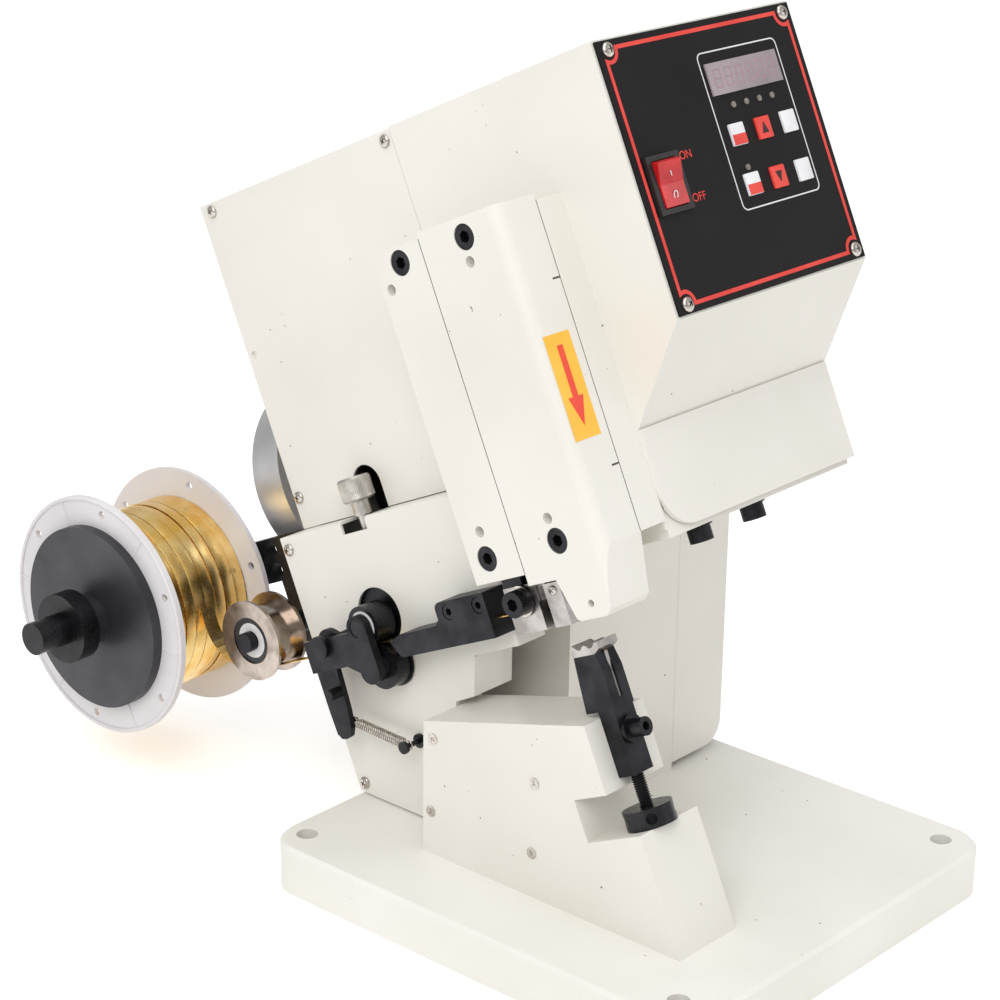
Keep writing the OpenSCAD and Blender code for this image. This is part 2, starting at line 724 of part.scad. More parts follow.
module key(i, j) color(white) lean() {
  x = key_xs[i];
  h = key_hs[j];
  block([x - key_half, x + key_half], [-panel_face - key_rise, -box_front], [h - key_half, h + key_half]);
  block([x - key_half - key_lip, x + key_half + key_lip], [-box_front, key_lip - box_front],
    [h - key_half - key_lip, h + key_half + key_lip]);
}
module key_a1() key(0, 0);
module key_a2() key(1, 0);
module key_a3() key(2, 0);
module key_b1() key(0, 1);
module key_b2() key(1, 1);
module key_b3() key(2, 1);

// thickness of the display window
display_t = 1;
module display_window() color([0.25, 0.12, 0.12]) lean()
  block([display_x - display_w / 2, display_x + display_w / 2], [-panel_face - display_t, -panel_face],
    [display_mid_h - display_h / 2, display_mid_h + display_h / 2]);

// height of an indicator lamp above the panel
led_rise = 0.8;
module status_leds() color(red) lean() {
  for (x = led_xs) rod_b(-panel_face - led_rise, -panel_face, x, led_h, led_d / 2);
  rod_b(-panel_face - led_rise, -panel_face, key_x - key_pitch_x, key_h - key_pitch_h + key_half + led_gap,
    led_d / 2);
}

// rocker and its bezel
bezel_t = 2.4;
rocker_half_w = 9;
rocker_r = 12.2;
rocker_tilt = 7;
rocker_edge = 5;
rocker_dip = 1.6;
// pivot height of the rocker behind the panel face
rocker_axis = panel_face;

module switch_bezel() color(panel_black) lean() difference() {
  block([switch_x - bezel_w / 2, switch_x + bezel_w / 2], [-panel_face - bezel_t, -panel_face],
    [switch_h - bezel_h / 2, switch_h + bezel_h / 2]);
  block([switch_x - rocker_half_w - key_gap, switch_x + rocker_half_w + key_gap], [-panel_face - bezel_t - cut, cut],
    [switch_h - rocker_r - key_gap, switch_h + rocker_r + key_gap]);
}

module power_rocker() color(red) lean() translate([0, -rocker_axis, switch_h]) rotate([rocker_tilt, 0, 0])
  side(switch_x - rocker_half_w, switch_x + rocker_half_w) difference() {
    circle(r = rocker_r, $fn = round_fn);
    polygon([[-rocker_edge, rocker_r + cut], [-rocker_edge + rocker_dip, 0], [-rocker_edge, -rocker_r - cut],
      [-rocker_r - cut, -rocker_r - cut], [-rocker_r - cut, rocker_r + cut]]);
  }

// ram channel in the housing
ram_left = -81;
channel = [[ram_left - ram_clear, ram_left + ram_w + ram_clear],
  [-ram_mid - ram_d / 2 - ram_clear, -ram_mid + ram_d / 2 + ram_clear]];
ram_top_h = ram_bottom_h + ram_len;
counterbore_len = 8;
counterbore_room = 0.3;
counterbore_r = m8_head_d / 2 + counterbore_room;
// dowel holes of the housing: distance forward, height
dowel_shares = [[0.497, 3.223], [1.09, 3.224], [0.57, 1.913], [1.061, 1.895]];
dowels_at = guide_reach * dowel_shares;
dowel_r = 3;
dowel_len = 6;

module housing_holes() {
  for (p = housing_screws_at) {
    rod_x(guide_left_x - cut, guide_left_x + counterbore_len, -p[0], p[1], counterbore_r);
    rod_x(guide_left_x - cut, guide_right_x + cut, -p[0], p[1], m8_d / 2 + fit_clear);
  }
  for (p = dowels_at) rod_x(guide_left_x - cut, guide_left_x + dowel_len, -p[0], p[1], dowel_r);
}

module ram_guide() color(cream) lean() difference() {
  union() {
    block([guide_left_x, guide_right_x], [-guide_seam, -guide_back], [guide_bottom_h, guide_top_h]);
    block([guide_seam_x, guide_right_x], [-guide_front, cut - guide_seam], [strip_bottom_h, guide_top_h]);
  }
  block(channel[0], channel[1], [nose_step_h, ram_top_h + free_clear]);
  block([channel[0][1] - cut, guide_right_x + cut],
    [-ram_mid - yoke_t / 2 - free_clear, -ram_mid + yoke_t / 2 + free_clear], [yoke_room_low, yoke_room_high]);
  housing_holes();
}

// profile of the cover plate: bevels at the nose
nose_b = [128.8, 125, 107, 104.5, 98.6];
nose_rise = [3, 1.5];
nose_profile = [[-guide_seam, cover_plate_top_h], [-guide_front, cover_plate_top_h], [-guide_front, strip_bottom_h],
  [-nose_b[0], nose_bottom_h + nose_rise[0]], [-nose_b[1], nose_bottom_h], [-nose_b[2], nose_bottom_h],
  [-nose_b[3], nose_bottom_h + nose_rise[1]], [-nose_b[4], nose_step_h], [-guide_seam, nose_step_h]];
nose_hole_b = 117;
nose_hole_rise = 7.7;
nose_hole_r = 2;

module ram_cover_plate() color(cream) lean() difference() {
  side(guide_left_x, guide_seam_x) polygon(nose_profile);
  translate([guide_left_x + cover_plate_r, -guide_front + cover_plate_r, 0]) plan(0, head_top_h)
    corner_cut(cover_plate_r, -1, -1);
  block(channel[0], channel[1], [nose_step_h - cut, ram_top_h + free_clear]);
  housing_holes();
  rod_x(guide_left_x - cut, guide_left_x + dowel_len, -nose_hole_b, nose_bottom_h + nose_hole_rise, nose_hole_r);
}

// recess of the screw heads below the housing face
head_recess = 0.4;
module housing_screws() color(black_oxide) lean() for (p = housing_screws_at)
  socket_x(guide_left_x + head_recess, guide_left_x + counterbore_len, housing_screw_end, -p[0], p[1],
    m8_head_d / 2, m8_d / 2);

module ram() color(steel) lean() difference() {
  union() {
    block([ram_left, ram_left + ram_w], [-ram_mid - ram_d / 2, -ram_mid + ram_d / 2], [ram_bottom_h, ram_top_h]);
    block([ram_left + ram_w - cut, yoke_right], [-ram_mid - yoke_t / 2, -ram_mid + yoke_t / 2], [yoke_low, yoke_high]);
  }
  block([crank_x - window_half, crank_x + window_half],
    [-ram_mid - yoke_t / 2 - cut, -ram_mid + yoke_t / 2 + cut], [window_low, window_high]);
}

// crimping punch and cutter under the ram
punch_w = 15;
punch_back = 86.6;
punch_low_h = 148;
cutter_t = 5.8;
cutter_low_h = 148;
punch_notch = 4;
module crimp_punch() color(steel) lean() {
  difference() {
    block([feed_x - punch_w / 2, feed_x + punch_w / 2], [-ram_mid - ram_d / 2 + ram_clear, -punch_back],
      [punch_low_h, ram_bottom_h]);
    face(-nose_front, -die_front + cut) polygon([[feed_x - punch_notch, punch_low_h - cut],
      [feed_x + punch_notch, punch_low_h - cut], [feed_x, punch_low_h + punch_notch]]);
  }
  block([feed_x - punch_w / 2, feed_x + punch_w / 2], [-groove_mid - cutter_t / 2, -groove_mid + cutter_t / 2],
    [cutter_low_h, ram_bottom_h]);
}

// centre of the cutter groove, measured forward
groove_mid = 71.4;
// rear step of the crankshaft for the flywheel
tail_r = 12;
tail_b = 196;
shaft_end_gap = 1;
pin_over = 2;

module crankshaft() color(steel) lean() {
  rod_b(-web_back - cut, body_back + shaft_end_gap, crank_x, crank_h, shaft_r);
  rod_b(-web_front, -web_back, crank_x, crank_h, web_r);
  rod_b(-ram_mid - yoke_t / 2 - pin_over, -web_front + cut, crank_x, crank_h + crank_r, pin_r);
  rod_b(body_back, tail_b, crank_x, crank_h, tail_r);
}

// flywheel rim, web and hub
rim_t = 11;
web_sink = 5;
hub_r = 24;
hub_over = [12, 4];
module flywheel() color(satin) lean() difference() {
  union() {
    rod_b(flywheel_b, flywheel_b + flywheel_w, crank_x, crank_h, flywheel_r);
    rod_b(flywheel_b - hub_over[0], flywheel_b + flywheel_w + hub_over[1], crank_x, crank_h, hub_r);
  }
  for (b = [[flywheel_b - cut, flywheel_b + web_sink],
    [flywheel_b + flywheel_w - web_sink, flywheel_b + flywheel_w + cut]]) difference() {
      rod_b(b[0], b[1], crank_x, crank_h, flywheel_r - rim_t);
      rod_b(b[0] - cut, b[1] + cut, crank_x, crank_h, hub_r);
    }
  rod_b(flywheel_b - base_t, tail_b + base_t, crank_x, crank_h, tail_r + fit_clear);
}

module ring_b(b0, b1, r, bore) difference() {
  rod_b(b0, b1, crank_x, crank_h, r);
  rod_b(b0 - cut, b1 + cut, crank_x, crank_h, bore);
}
module crank_bearings() color(steel) lean() {
  ring_b(-bearing_wall_front, -bearing_wall_back, bearing_r, shaft_r + turn_clear);
  ring_b(frame_back - head_wall, frame_back, bearing_r, shaft_r + turn_clear);
}

// belt plane and pulley cheeks
belt_b = 96;
cheek_t = 2;
cheek_rise = 3.5;
belt_gap = 0.15;
module belt_wheel(x, h, r) {
  rod_b(belt_b - belt_w / 2 - belt_gap, belt_b + belt_w / 2 + belt_gap, x, h, r);
  for (s = [0, 1]) translate([0, s * (belt_w + 2 * belt_gap + cheek_t), 0])
    rod_b(belt_b - belt_w / 2 - belt_gap - cheek_t, belt_b - belt_w / 2 - belt_gap, x, h, r + cheek_rise);
}
module crank_pulley() color(satin) lean() difference() {
  belt_wheel(crank_x, crank_h, crank_pulley_r);
  rod_b(0, body_back, crank_x, crank_h, shaft_r + fit_clear);
}

motor_shaft_r = 6;
motor_shaft_back = 40;
module drive_motor() color(black_oxide) lean() difference() {
  union() {
    rod_b(motor_b, motor_b + motor_len, motor_x, motor_h, motor_r);
    rod_b(motor_b - motor_web_t, motor_b + cut, motor_x, motor_h, motor_r / 2 - fit_clear);
  }
  rod_b(motor_b + motor_shaft_back - cut, body_back, motor_x, motor_h, motor_shaft_r + turn_clear);
}
module motor_pulley() color(satin) lean() {
  belt_wheel(motor_x, motor_h, motor_pulley_r);
  rod_b(motor_b + motor_shaft_back, belt_b, motor_x, motor_h, motor_shaft_r);
}
module belt_loop(t) hull() {
  translate([crank_x, crank_h]) circle(r = crank_pulley_r + t, $fn = round_fn);
  translate([motor_x, motor_h]) circle(r = motor_pulley_r + t, $fn = round_fn);
}
module drive_belt() color(black_oxide) lean() face(belt_b - belt_w / 2, belt_b + belt_w / 2) difference() {
  belt_loop(belt_t);
  belt_loop(belt_gap);
}

head_bolt_r = 6.5;
head_bolt_h = 8;
washer_r = 8;
washer_t = 1.6;
module head_bolts() color(black_oxide) lean() for (x = head_bolt_x) translate([x, -head_bolt_front, 0]) difference() {
  union() {
    rod_h(head_floor_h - washer_t, head_floor_h, 0, 0, washer_r);
    rod_h(head_floor_h - washer_t - head_bolt_h, head_floor_h - washer_t + cut, 0, 0, head_bolt_r);
    rod_h(head_floor_h - cut, head_floor_h + head_bolt_len, 0, 0, m8_d / 2);
  }
  translate([0, 0, head_floor_h - washer_t - head_bolt_h - cut])
    cylinder(h = cut + socket_share * head_bolt_h, r = key_share * head_bolt_r, $fn = 6);
}

// cutting die: low in front, high behind, cutter groove between
die_low_h = 145.5;
die_right_x = -42;
groove_depth_x = 19;
groove_back = groove_mid - groove_w / 2;
clamp_h = 150;
clamp_front = 57.7;
clamp_r = 4;
strip_room = 0.3;
module strip_slot(b0, b1, x0, x1) block([x0, x1], [b0, b1],
  [feed_h - strip_t / 2 - strip_room, feed_h + strip_t / 2 + strip_room]);
module cutting_die() color(steel) lean() difference() {
  side(die_left_x, die_right_x) polygon([[-die_front, die_bottom_h], [-die_back, die_bottom_h],
    [-die_back, die_top_h], [-groove_back, die_top_h], [-groove_back, die_low_h], [-die_front, die_low_h]]);
  block([die_left_x - cut, die_left_x + groove_depth_x], [-groove_mid - groove_w / 2, -groove_back],
    [die_bottom_h - cut, die_top_h + cut]);
  strip_slot(-groove_back - cut, cut - die_back, feed_x - strip_w / 2 - strip_room, feed_x + strip_w / 2 + strip_room);
  rod_x(die_left_x - cut, die_right_x + cut, -clamp_front, clamp_h, clamp_r + fit_clear);
}
spacer_front = 60.5;
spacer_back_gap = 1;
module die_spacer() color(black_oxide) lean()
  block([die_left_x, die_right_x], [-spacer_front, -die_back - spacer_back_gap], [die_top_h, guide_bottom_h]);
strip_clamp_h = 10.5;
strip_clamp_right_x = -60;
module strip_clamp() color(steel) lean()
  block([die_left_x, strip_clamp_right_x], [-die_front, -groove_mid - groove_w / 2], [die_low_h, die_low_h + strip_clamp_h]);
clamp_head_len = 6.9;
clamp_end_gap = 2;
clamp_washer_r = 8.5;
module die_clamp_screw() color(black_oxide) lean() {
  socket_x(die_left_x - washer_t - clamp_head_len, die_left_x - washer_t, die_right_x - clamp_end_gap, -clamp_front, clamp_h,
    clamp_head_d / 2, clamp_r);
  difference() {
    rod_x(die_left_x - washer_t, die_left_x, -clamp_front, clamp_h, clamp_washer_r);
    rod_x(die_left_x - base_t, die_left_x + cut, -clamp_front, clamp_h, clamp_r - fit_clear);
  }
}

// guide bar for the strip, from the pointed end to the thick end
bar_left_x = low_cover_x - bar_t;
bar_low_h = 134;
bar_neck_h = 147;
bar_thick_b = 8;
bar_end = 30;
bar_corner_r = 4;
bar_tip_b = 50;
bar_toe_b = 43.5;
bar_toe_cut = [1.5, 1.2];
bar_heel_b = 41.4;
bar_heel_drop = 0.5;
bar_neck_cut = 3;
bar_screw_h = 152.8;
bar_screw_b = [1.3, 24.2];
bar_screws_at = [for (b = bar_screw_b) [-b, bar_screw_h]];
bar_screw_hold = 3;
bar_head_room = 0.3;
bar_screw_r = 2.5;
bar_head_r = 4.2;
bar_head_len = 5;
module strip_guide_bar() color(black_oxide) lean() difference() {
  side(bar_left_x, low_cover_x) polygon([[-bar_end, bar_low_h], [bar_toe_b, bar_low_h],
    [bar_toe_b + bar_toe_cut[0], bar_low_h + bar_toe_cut[1]], [bar_tip_b, feed_h],
    [bar_heel_b, bar_neck_h - bar_heel_drop], [bar_thick_b + bar_neck_cut, bar_neck_h],
    [bar_thick_b, bar_neck_h + bar_neck_cut], [bar_thick_b, bar_top_h],
    [-bar_end, bar_top_h]]);
  side(bar_left_x - cut, low_cover_x + cut) translate([bar_thick_b - bar_corner_r, bar_top_h - bar_corner_r])
    corner_cut(bar_corner_r, 1, 1);
  strip_slot(-bar_end - cut, bar_tip_b + cut, feed_x - strip_w / 2 - strip_room, low_cover_x + cut);
  for (p = bar_screws_at) {
    rod_x(bar_left_x - cut, bar_left_x + bar_head_len, p[0], p[1], bar_head_r + bar_head_room);
    rod_x(bar_left_x - cut, low_cover_x + cut, p[0], p[1], bar_screw_r + fit_clear);
  }
}
module bar_screws() color(black_oxide) lean() for (p = bar_screws_at)
  socket_x(bar_left_x + head_recess, bar_left_x + bar_head_len, low_cover_x + bar_screw_hold, p[0], p[1],
    bar_head_r, bar_screw_r);

// strip feed: the strip runs between the drive roller and the pressure roller below it
drive_h = feed_h + strip_t / 2 + strip_gap + drive_r;
press_h = feed_h - strip_t / 2 - strip_gap - press_r;
plate_left_x = -81;
plate_right_x = -76;
plate_low_h = 136;
plate_start = 3;
plate_size = [43, 18];
plate_eye_r = 7.3;
pivot_r = 4;
module feed_side_plate() color(black_oxide) lean() difference() {
  side(plate_left_x, plate_right_x) {
    translate([roller_b + plate_start, plate_low_h]) square(plate_size);
    translate([roller_b, drive_h]) circle(r = plate_eye_r, $fn = round_fn);
    translate([roller_b, press_h]) circle(r = plate_eye_r, $fn = round_fn);
    translate([roller_b - plate_eye_r, press_h]) square([2 * plate_eye_r, drive_h - press_h]);
  }
  rod_x(plate_left_x - cut, plate_right_x + cut, roller_b, drive_h, feed_shaft_r + turn_clear);
  rod_x(plate_left_x - cut, plate_right_x + cut, pivot_b, pivot_h, pivot_r + fit_clear);
}
feed_shaft_x = [-80.5, -42];
drive_x = [-75.4, -61.5];
drive_hub_end_x = -57.5;
drive_hub_step = 3;
module drive_roller() color(black_oxide) lean() {
  rod_x(feed_shaft_x[0], feed_shaft_x[1], roller_b, drive_h, feed_shaft_r);
  rod_x(drive_x[0], drive_x[1], roller_b, drive_h, drive_r);
  rod_x(drive_x[1] - cut, drive_hub_end_x, roller_b, drive_h, drive_r - drive_hub_step);
}
// lever: arm, carrier and hub lie in one plate in front of the strip
lever_left_x = -75.5;
lever_right_x = -72;
lever_hub_r = 8.5;
carrier_r = 7;
lever_dir = unit([roller_b - pivot_b, press_h - pivot_h]);
lever_nrm = [-lever_dir[1], lever_dir[0]];
hook_b = 107.5;
hook_h = 104;
hook_r = 1.2;
release_b = 104;
release_h = 122.5;
release_r = 3.15;
press_pin_r = 4;
hook_end_x = -66;
release_end_x = -83.5;
press_pin_end_x = -60.4;
// outline of the arm from the pivot, as shares of its radius
lever_arm_shares = [[0.2, -4.225], [0.575, -9.475], [1.05, -12.225], [1.825, -13.375], [2.575, -13.625],
  [3.575, -13.525], [4.2, -12.725], [4.35, -9.225], [4.35, -3.475]];
module pressure_lever() color(black_oxide) lean() {
  difference() {
    side(lever_left_x, lever_right_x) {
      translate([pivot_b, pivot_h]) circle(r = lever_hub_r, $fn = round_fn);
      translate([roller_b, press_h]) circle(r = carrier_r, $fn = round_fn);
      polygon([[pivot_b, pivot_h] + lever_nrm * lever_hub_r, [roller_b, press_h] + lever_nrm * carrier_r,
        [roller_b, press_h] - lever_nrm * carrier_r, [pivot_b, pivot_h] - lever_nrm * lever_hub_r]);
      polygon([[pivot_b, pivot_h], each [for (q = lever_arm_shares) [pivot_b, pivot_h] + pivot_r * q],
        [pivot_b + lever_hub_r, pivot_h]]);
    }
    rod_x(lever_left_x - cut, lever_right_x + cut, pivot_b, pivot_h, pivot_r + turn_clear);
  }
  rod_x(lever_right_x - cut, hook_end_x, hook_b, hook_h, hook_r);
  rod_x(release_end_x, lever_left_x + cut, release_b, release_h, release_r);
  rod_x(lever_right_x - cut, press_pin_end_x, roller_b, press_h, press_pin_r);
}
press_x = [-71.8, -60.2];
press_rim_t = 1.1;
press_rim_rise = 1.2;
module pressure_roller() color(black_oxide) lean() difference() {
  union() {
    rod_x(press_x[0], press_x[1], roller_b, press_h, press_r);
    rod_x(press_x[1] - press_rim_t, press_x[1], roller_b, press_h, press_r + press_rim_rise);
  }
  rod_x(press_x[0] - cut, press_x[1] + cut, roller_b, press_h, press_pin_r + turn_clear);
}
pivot_end_x = -48;
pivot_head_t = 3;
pivot_head_rise = 2.5;
module lever_pivot() color(black_oxide) lean() {
  rod_x(plate_left_x - cut, pivot_end_x, pivot_b, pivot_h, pivot_r);
  rod_x(plate_left_x - pivot_head_t, plate_left_x, pivot_b, pivot_h, pivot_r + pivot_head_rise);
}
// housing of the feed shaft behind the cover
housing_left_x = -56.5;
housing_b = [52, 110];
housing_h = [138, 178];
housing_gap = 0.5;
housing_web_b = 83;
housing_bore_x = -41;
housing_seat_x = -47;
module feed_housing() color(black_oxide) lean() difference() {
  union() {
    block([housing_left_x, head_left_x - housing_gap], housing_b, housing_h);
    block([head_left_x - cut, column_left_x], [housing_b[0], housing_web_b], [housing_h[0], head_floor_h]);
  }
  rod_x(housing_left_x - cut, housing_bore_x, roller_b, drive_h, feed_shaft_r + turn_clear);
  rod_x(housing_left_x - cut, housing_seat_x, pivot_b, pivot_h, pivot_r + fit_clear);
  rod_h(rod_low_h - cut, housing_h[1] + cut, knob_x, roller_b, feed_rod_r + turn_clear);
}
feed_rod_r = 4;
rod_low_h = 166;
knob_low_h = 221;
knob_hub_r = 5.5;
knob_gap = 0.5;
module feed_knob() color(steel) lean() {
  rod_h(knob_low_h, knob_low_h + knob_len, knob_x, roller_b, knob_d / 2);
  rod_h(low_cover_h + knob_gap, knob_low_h + cut, knob_x, roller_b, knob_hub_r);
  rod_h(rod_low_h, knob_low_h, knob_x, roller_b, feed_rod_r);
}

// spring anchor on the cover
anchor_b = 69;
anchor_h = 84.5;
anchor_r = 1.5;
anchor_reach = 3;
anchor_head_t = 2;
anchor_head_rise = 2;
anchor_foot_t = 2;
anchor_foot_rise = 2.5;
spring_x = -69;
module spring_anchor() color(black_oxide) lean() {
  rod_x(spring_x - anchor_reach, low_cover_x + sheet_t, anchor_b, anchor_h, anchor_r);
  rod_x(spring_x - anchor_reach - anchor_head_t, spring_x - anchor_reach + fit_clear, anchor_b, anchor_h,
    anchor_r + anchor_head_rise);
  rod_x(low_cover_x - anchor_foot_t, low_cover_x, anchor_b, anchor_h, anchor_r + anchor_foot_rise);
}

// tube along a path, its rings hardly turned
function tangent(p, i) = unit(p[min(i + 1, len(p) - 1)] - p[max(i - 1, 0)]);
function carry(n, t) = unit(n - (n * t) * t);
function frames(p) = [for (i = 0, n = carry([0.31, 0.52, 0.79], tangent(p, 0)); i < len(p);
  i = i + 1, n = carry(n, tangent(p, min(i, len(p) - 1)))) n];
module tube(p, r, sides) {
  f = frames(p);
  n = len(p);
  pts = [for (i = [0:n - 1], k = [0:sides - 1]) let (t = tangent(p, i), u = f[i], w = cross(t, u), a = 360 * k / sides)
    p[i] + r * (u * cos(a) + w * sin(a))];
  walls = [for (i = [0:n - 2], k = [0:sides - 1]) let (m = (k + 1) % sides, a = i * sides, b = a + sides)
    each [[a + k, b + k, b + m], [a + k, b + m, a + m]]];
  polyhedron(pts, concat(walls, [[for (k = [0:sides - 1]) k]], [[for (k = [sides - 1:-1:0]) (n - 1) * sides + k]]));
}
// smallest gap between parts of a path that are over skip steps apart along it
function least_gap(p, skip, d) = min([for (i = [0:len(p) - 1 - skip], j = [i + skip:len(p) - 1]) norm(p[i] - p[j])]) - d;

// tension spring between the hook pin of the lever and the anchor
spring_r = (spring_od - spring_wire) / 2;
ring_steps = 8;
spring_slack = 0.3;
spring_seat = spring_r - spring_wire / 2 - spring_slack;
spring_from = [spring_x, hook_b, hook_h];
spring_to = [spring_x, anchor_b, anchor_h];
spring_dir = unit(spring_to - spring_from);
spring_side = cross([1, 0, 0], spring_dir);
spring_c0 = spring_from + spring_dir * (spring_seat - hook_r);
spring_c1 = spring_to - spring_dir * (spring_seat - anchor_r);
coil_start = 0.9;
coil_len = norm(spring_c1 - spring_c0) - 2 * (spring_r + coil_start);
loop_gap_deg = 60;
// first end loop, curls, last end loop
first_loop = [for (i = [0:ring_steps]) let (a = loop_gap_deg + (360 - loop_gap_deg) * i / ring_steps)
  spring_c0 + spring_r * (cos(a) * spring_dir + sin(a) * spring_side)];
curls = [for (i = [0:spring_curls * ring_steps]) let (a = 45 + 360 * i / ring_steps,
  g = min(1, (i + 1) / 5, (spring_curls * ring_steps - i + 1) / 5))
  spring_c0 + spring_dir * (spring_r + coil_start + coil_len * i / (spring_curls * ring_steps))
  + g * spring_r * (cos(a) * spring_side + sin(a) * [1, 0, 0])];
last_loop = [for (i = [0:ring_steps]) let (a = 180 - (360 - loop_gap_deg) * i / ring_steps)
  spring_c1 + spring_r * (cos(a) * spring_dir + sin(a) * spring_side)];
spring_path = concat(first_loop, curls, last_loop);
module tension_spring() color(steel) lean() tube(spring_path, spring_wire / 2, 6);

// anvil block with an inclined seat, a notch for the capstan nut and a toe
toe_low_h = -(toe_front * ls) / lc;
module anvil_block() color(cream) lean() difference() {
  side(anvil_left_x, anvil_right_x) polygon([leaned(anvil_back_y, 0), leaned(anvil_back_y, anvil_back_z),
    [-anvil_seat, anvil_edge_h], [-anvil_seat, notch_top_h], [-notch_back, notch_top_h], [-notch_back, notch_floor_h],
    [-toe_front, notch_floor_h], [-toe_front, toe_low_h]]);
  rod_b(-anvil_seat - cut, clamp_tip_gap - clamp_tip, feed_x, clamp_bolt_h, clamp_bolt_r + fit_clear);
}

// die holder on the inclined seat
holder_front = anvil_seat + holder_t;
holder_x = [feed_x - holder_w / 2, feed_x + holder_w / 2];
clamp_bolt_h = 73;
clamp_bolt_r = 3;
clamp_tip = 68;
clamp_tip_gap = 1;
clamp_slot_room = 0.2;
holder_steps = [8.4, 6.7, 5];
holder_step_h = 101.6;
holder_lip = 1;
holder_lip_h = 9.3;
blade_inset = 1;
clamp_slot = 1.6;
blade_t = 2.4;
blade_low_h = 90.5;
blade_top_h = 118;
blade_back = 84;
blade_front = 95;
module blade_slot(h1) block([feed_x - blade_t / 2 - fit_clear, feed_x + blade_t / 2 + fit_clear],
  [-holder_front - base_t, -blade_back + fit_clear], [blade_low_h, h1]);
module die_holder() color(black_oxide) lean() difference() {
  side(holder_x[0], holder_x[1]) polygon([[-anvil_seat, holder_bottom_h], [-anvil_seat, holder_head_h],
    [holder_steps[0] - anvil_seat, holder_head_h], [holder_steps[1] - anvil_seat, holder_step_h],
    [holder_steps[2] - anvil_seat, holder_top_h], [holder_lip - holder_front, holder_top_h],
    [-holder_front - holder_lip, holder_top_h - holder_lip_h], [-holder_front - holder_lip, holder_head_h],
    [-holder_front, holder_head_h], [-holder_front, holder_bottom_h]]);
  blade_slot(holder_top_h + cut);
  for (s = [-1, 1]) translate([0, 0, s * clamp_slot])
    rod_b(-holder_front - cut, cut - anvil_seat, feed_x, clamp_bolt_h, clamp_bolt_r + clamp_slot_room);
  block([feed_x - clamp_bolt_r - clamp_slot_room, feed_x + clamp_bolt_r + clamp_slot_room], [-holder_front - cut, cut - anvil_seat],
    [clamp_bolt_h - clamp_slot, clamp_bolt_h + clamp_slot]);
  rod_h(holder_bottom_h - cut, holder_bottom_h + screw_depth, feed_x, -screw_front, screw_r + fit_clear);
}
// axis of the adjusting screw, in the middle of the shank
screw_front = anvil_seat + holder_t / 2;
screw_depth = 6;
screw_end_gap = 2;
screw_low_h = notch_floor_h + screw_end_gap;
module adjusting_screw() color(black_oxide) lean()
  rod_h(screw_low_h, holder_bottom_h + screw_depth, feed_x, -screw_front, screw_r);
nut_hole_r = 3;
nut_hole_len = 7;
module capstan_nut() color(black_oxide) lean() translate([feed_x, -screw_front, notch_floor_h]) difference() {
  rod_h(0, nut_t, 0, 0, nut_r);
  rod_h(-cut, nut_t + cut, 0, 0, screw_r + turn_clear);
  for (i = [0:3]) rotate([0, 0, 45 + 90 * i]) rod_x(nut_r - nut_hole_len, nut_r + cut, 0, nut_t / 2, nut_hole_r);
}
// lower die with a double groove across its top
die_root = holder_top_h;
die_w = [77.5, 97];
die_rim = [1, 2.4];
die_groove_w = 10;
// points across the top: how far forward, how deep
die_groove_shares = [[0.19, 0], [0.47, 0.24], [0.67, 0.26], [0.88, 0.08], [0.98, 0.05], [1.08, 0.08], [1.29, 0.26],
  [1.49, 0.24], [1.77, 0]];
module lower_die() color(steel) lean() union() {
  strip_blade();
  side(holder_x[0], holder_x[1]) polygon([[-die_w[1], die_root + die_rim[1]], [holder_lip - holder_front, die_root],
    [-die_w[0] - die_rim[0], die_root], [-die_w[0], die_root + die_rim[0]], [-die_w[0], die_root + die_h],
    each [for (q = die_groove_shares) [-die_w[0] - q[0] * die_groove_w, die_root + die_h - q[1] * die_groove_w]],
    [-die_w[1], die_root + die_h]]);
}
module strip_blade() block([feed_x - blade_t / 2, feed_x + blade_t / 2], [blade_inset - blade_front, -blade_back],
  [blade_low_h, blade_top_h]);

clamp_bolt_head_r = 5;
clamp_bolt_head = 8.5;
clamp_bolt_washer_r = 7.5;
clamp_bolt_washer = 2.5;
module clamp_bolt() color(black_oxide) lean() difference() {
  union() {
    rod_b(-holder_front, -clamp_tip, feed_x, clamp_bolt_h, clamp_bolt_r);
    rod_b(-holder_front - clamp_bolt_washer, -holder_front, feed_x, clamp_bolt_h, clamp_bolt_washer_r);
    rod_b(-holder_front - clamp_bolt_washer - clamp_bolt_head, -holder_front - clamp_bolt_washer + cut, feed_x,
      clamp_bolt_h, clamp_bolt_head_r);
  }
  translate([feed_x, -holder_front - clamp_bolt_washer - clamp_bolt_head - cut, clamp_bolt_h]) rotate([-90, 0, 0])
    cylinder(h = cut + socket_share * clamp_bolt_head, r = key_share * clamp_bolt_head_r, $fn = 6);
}

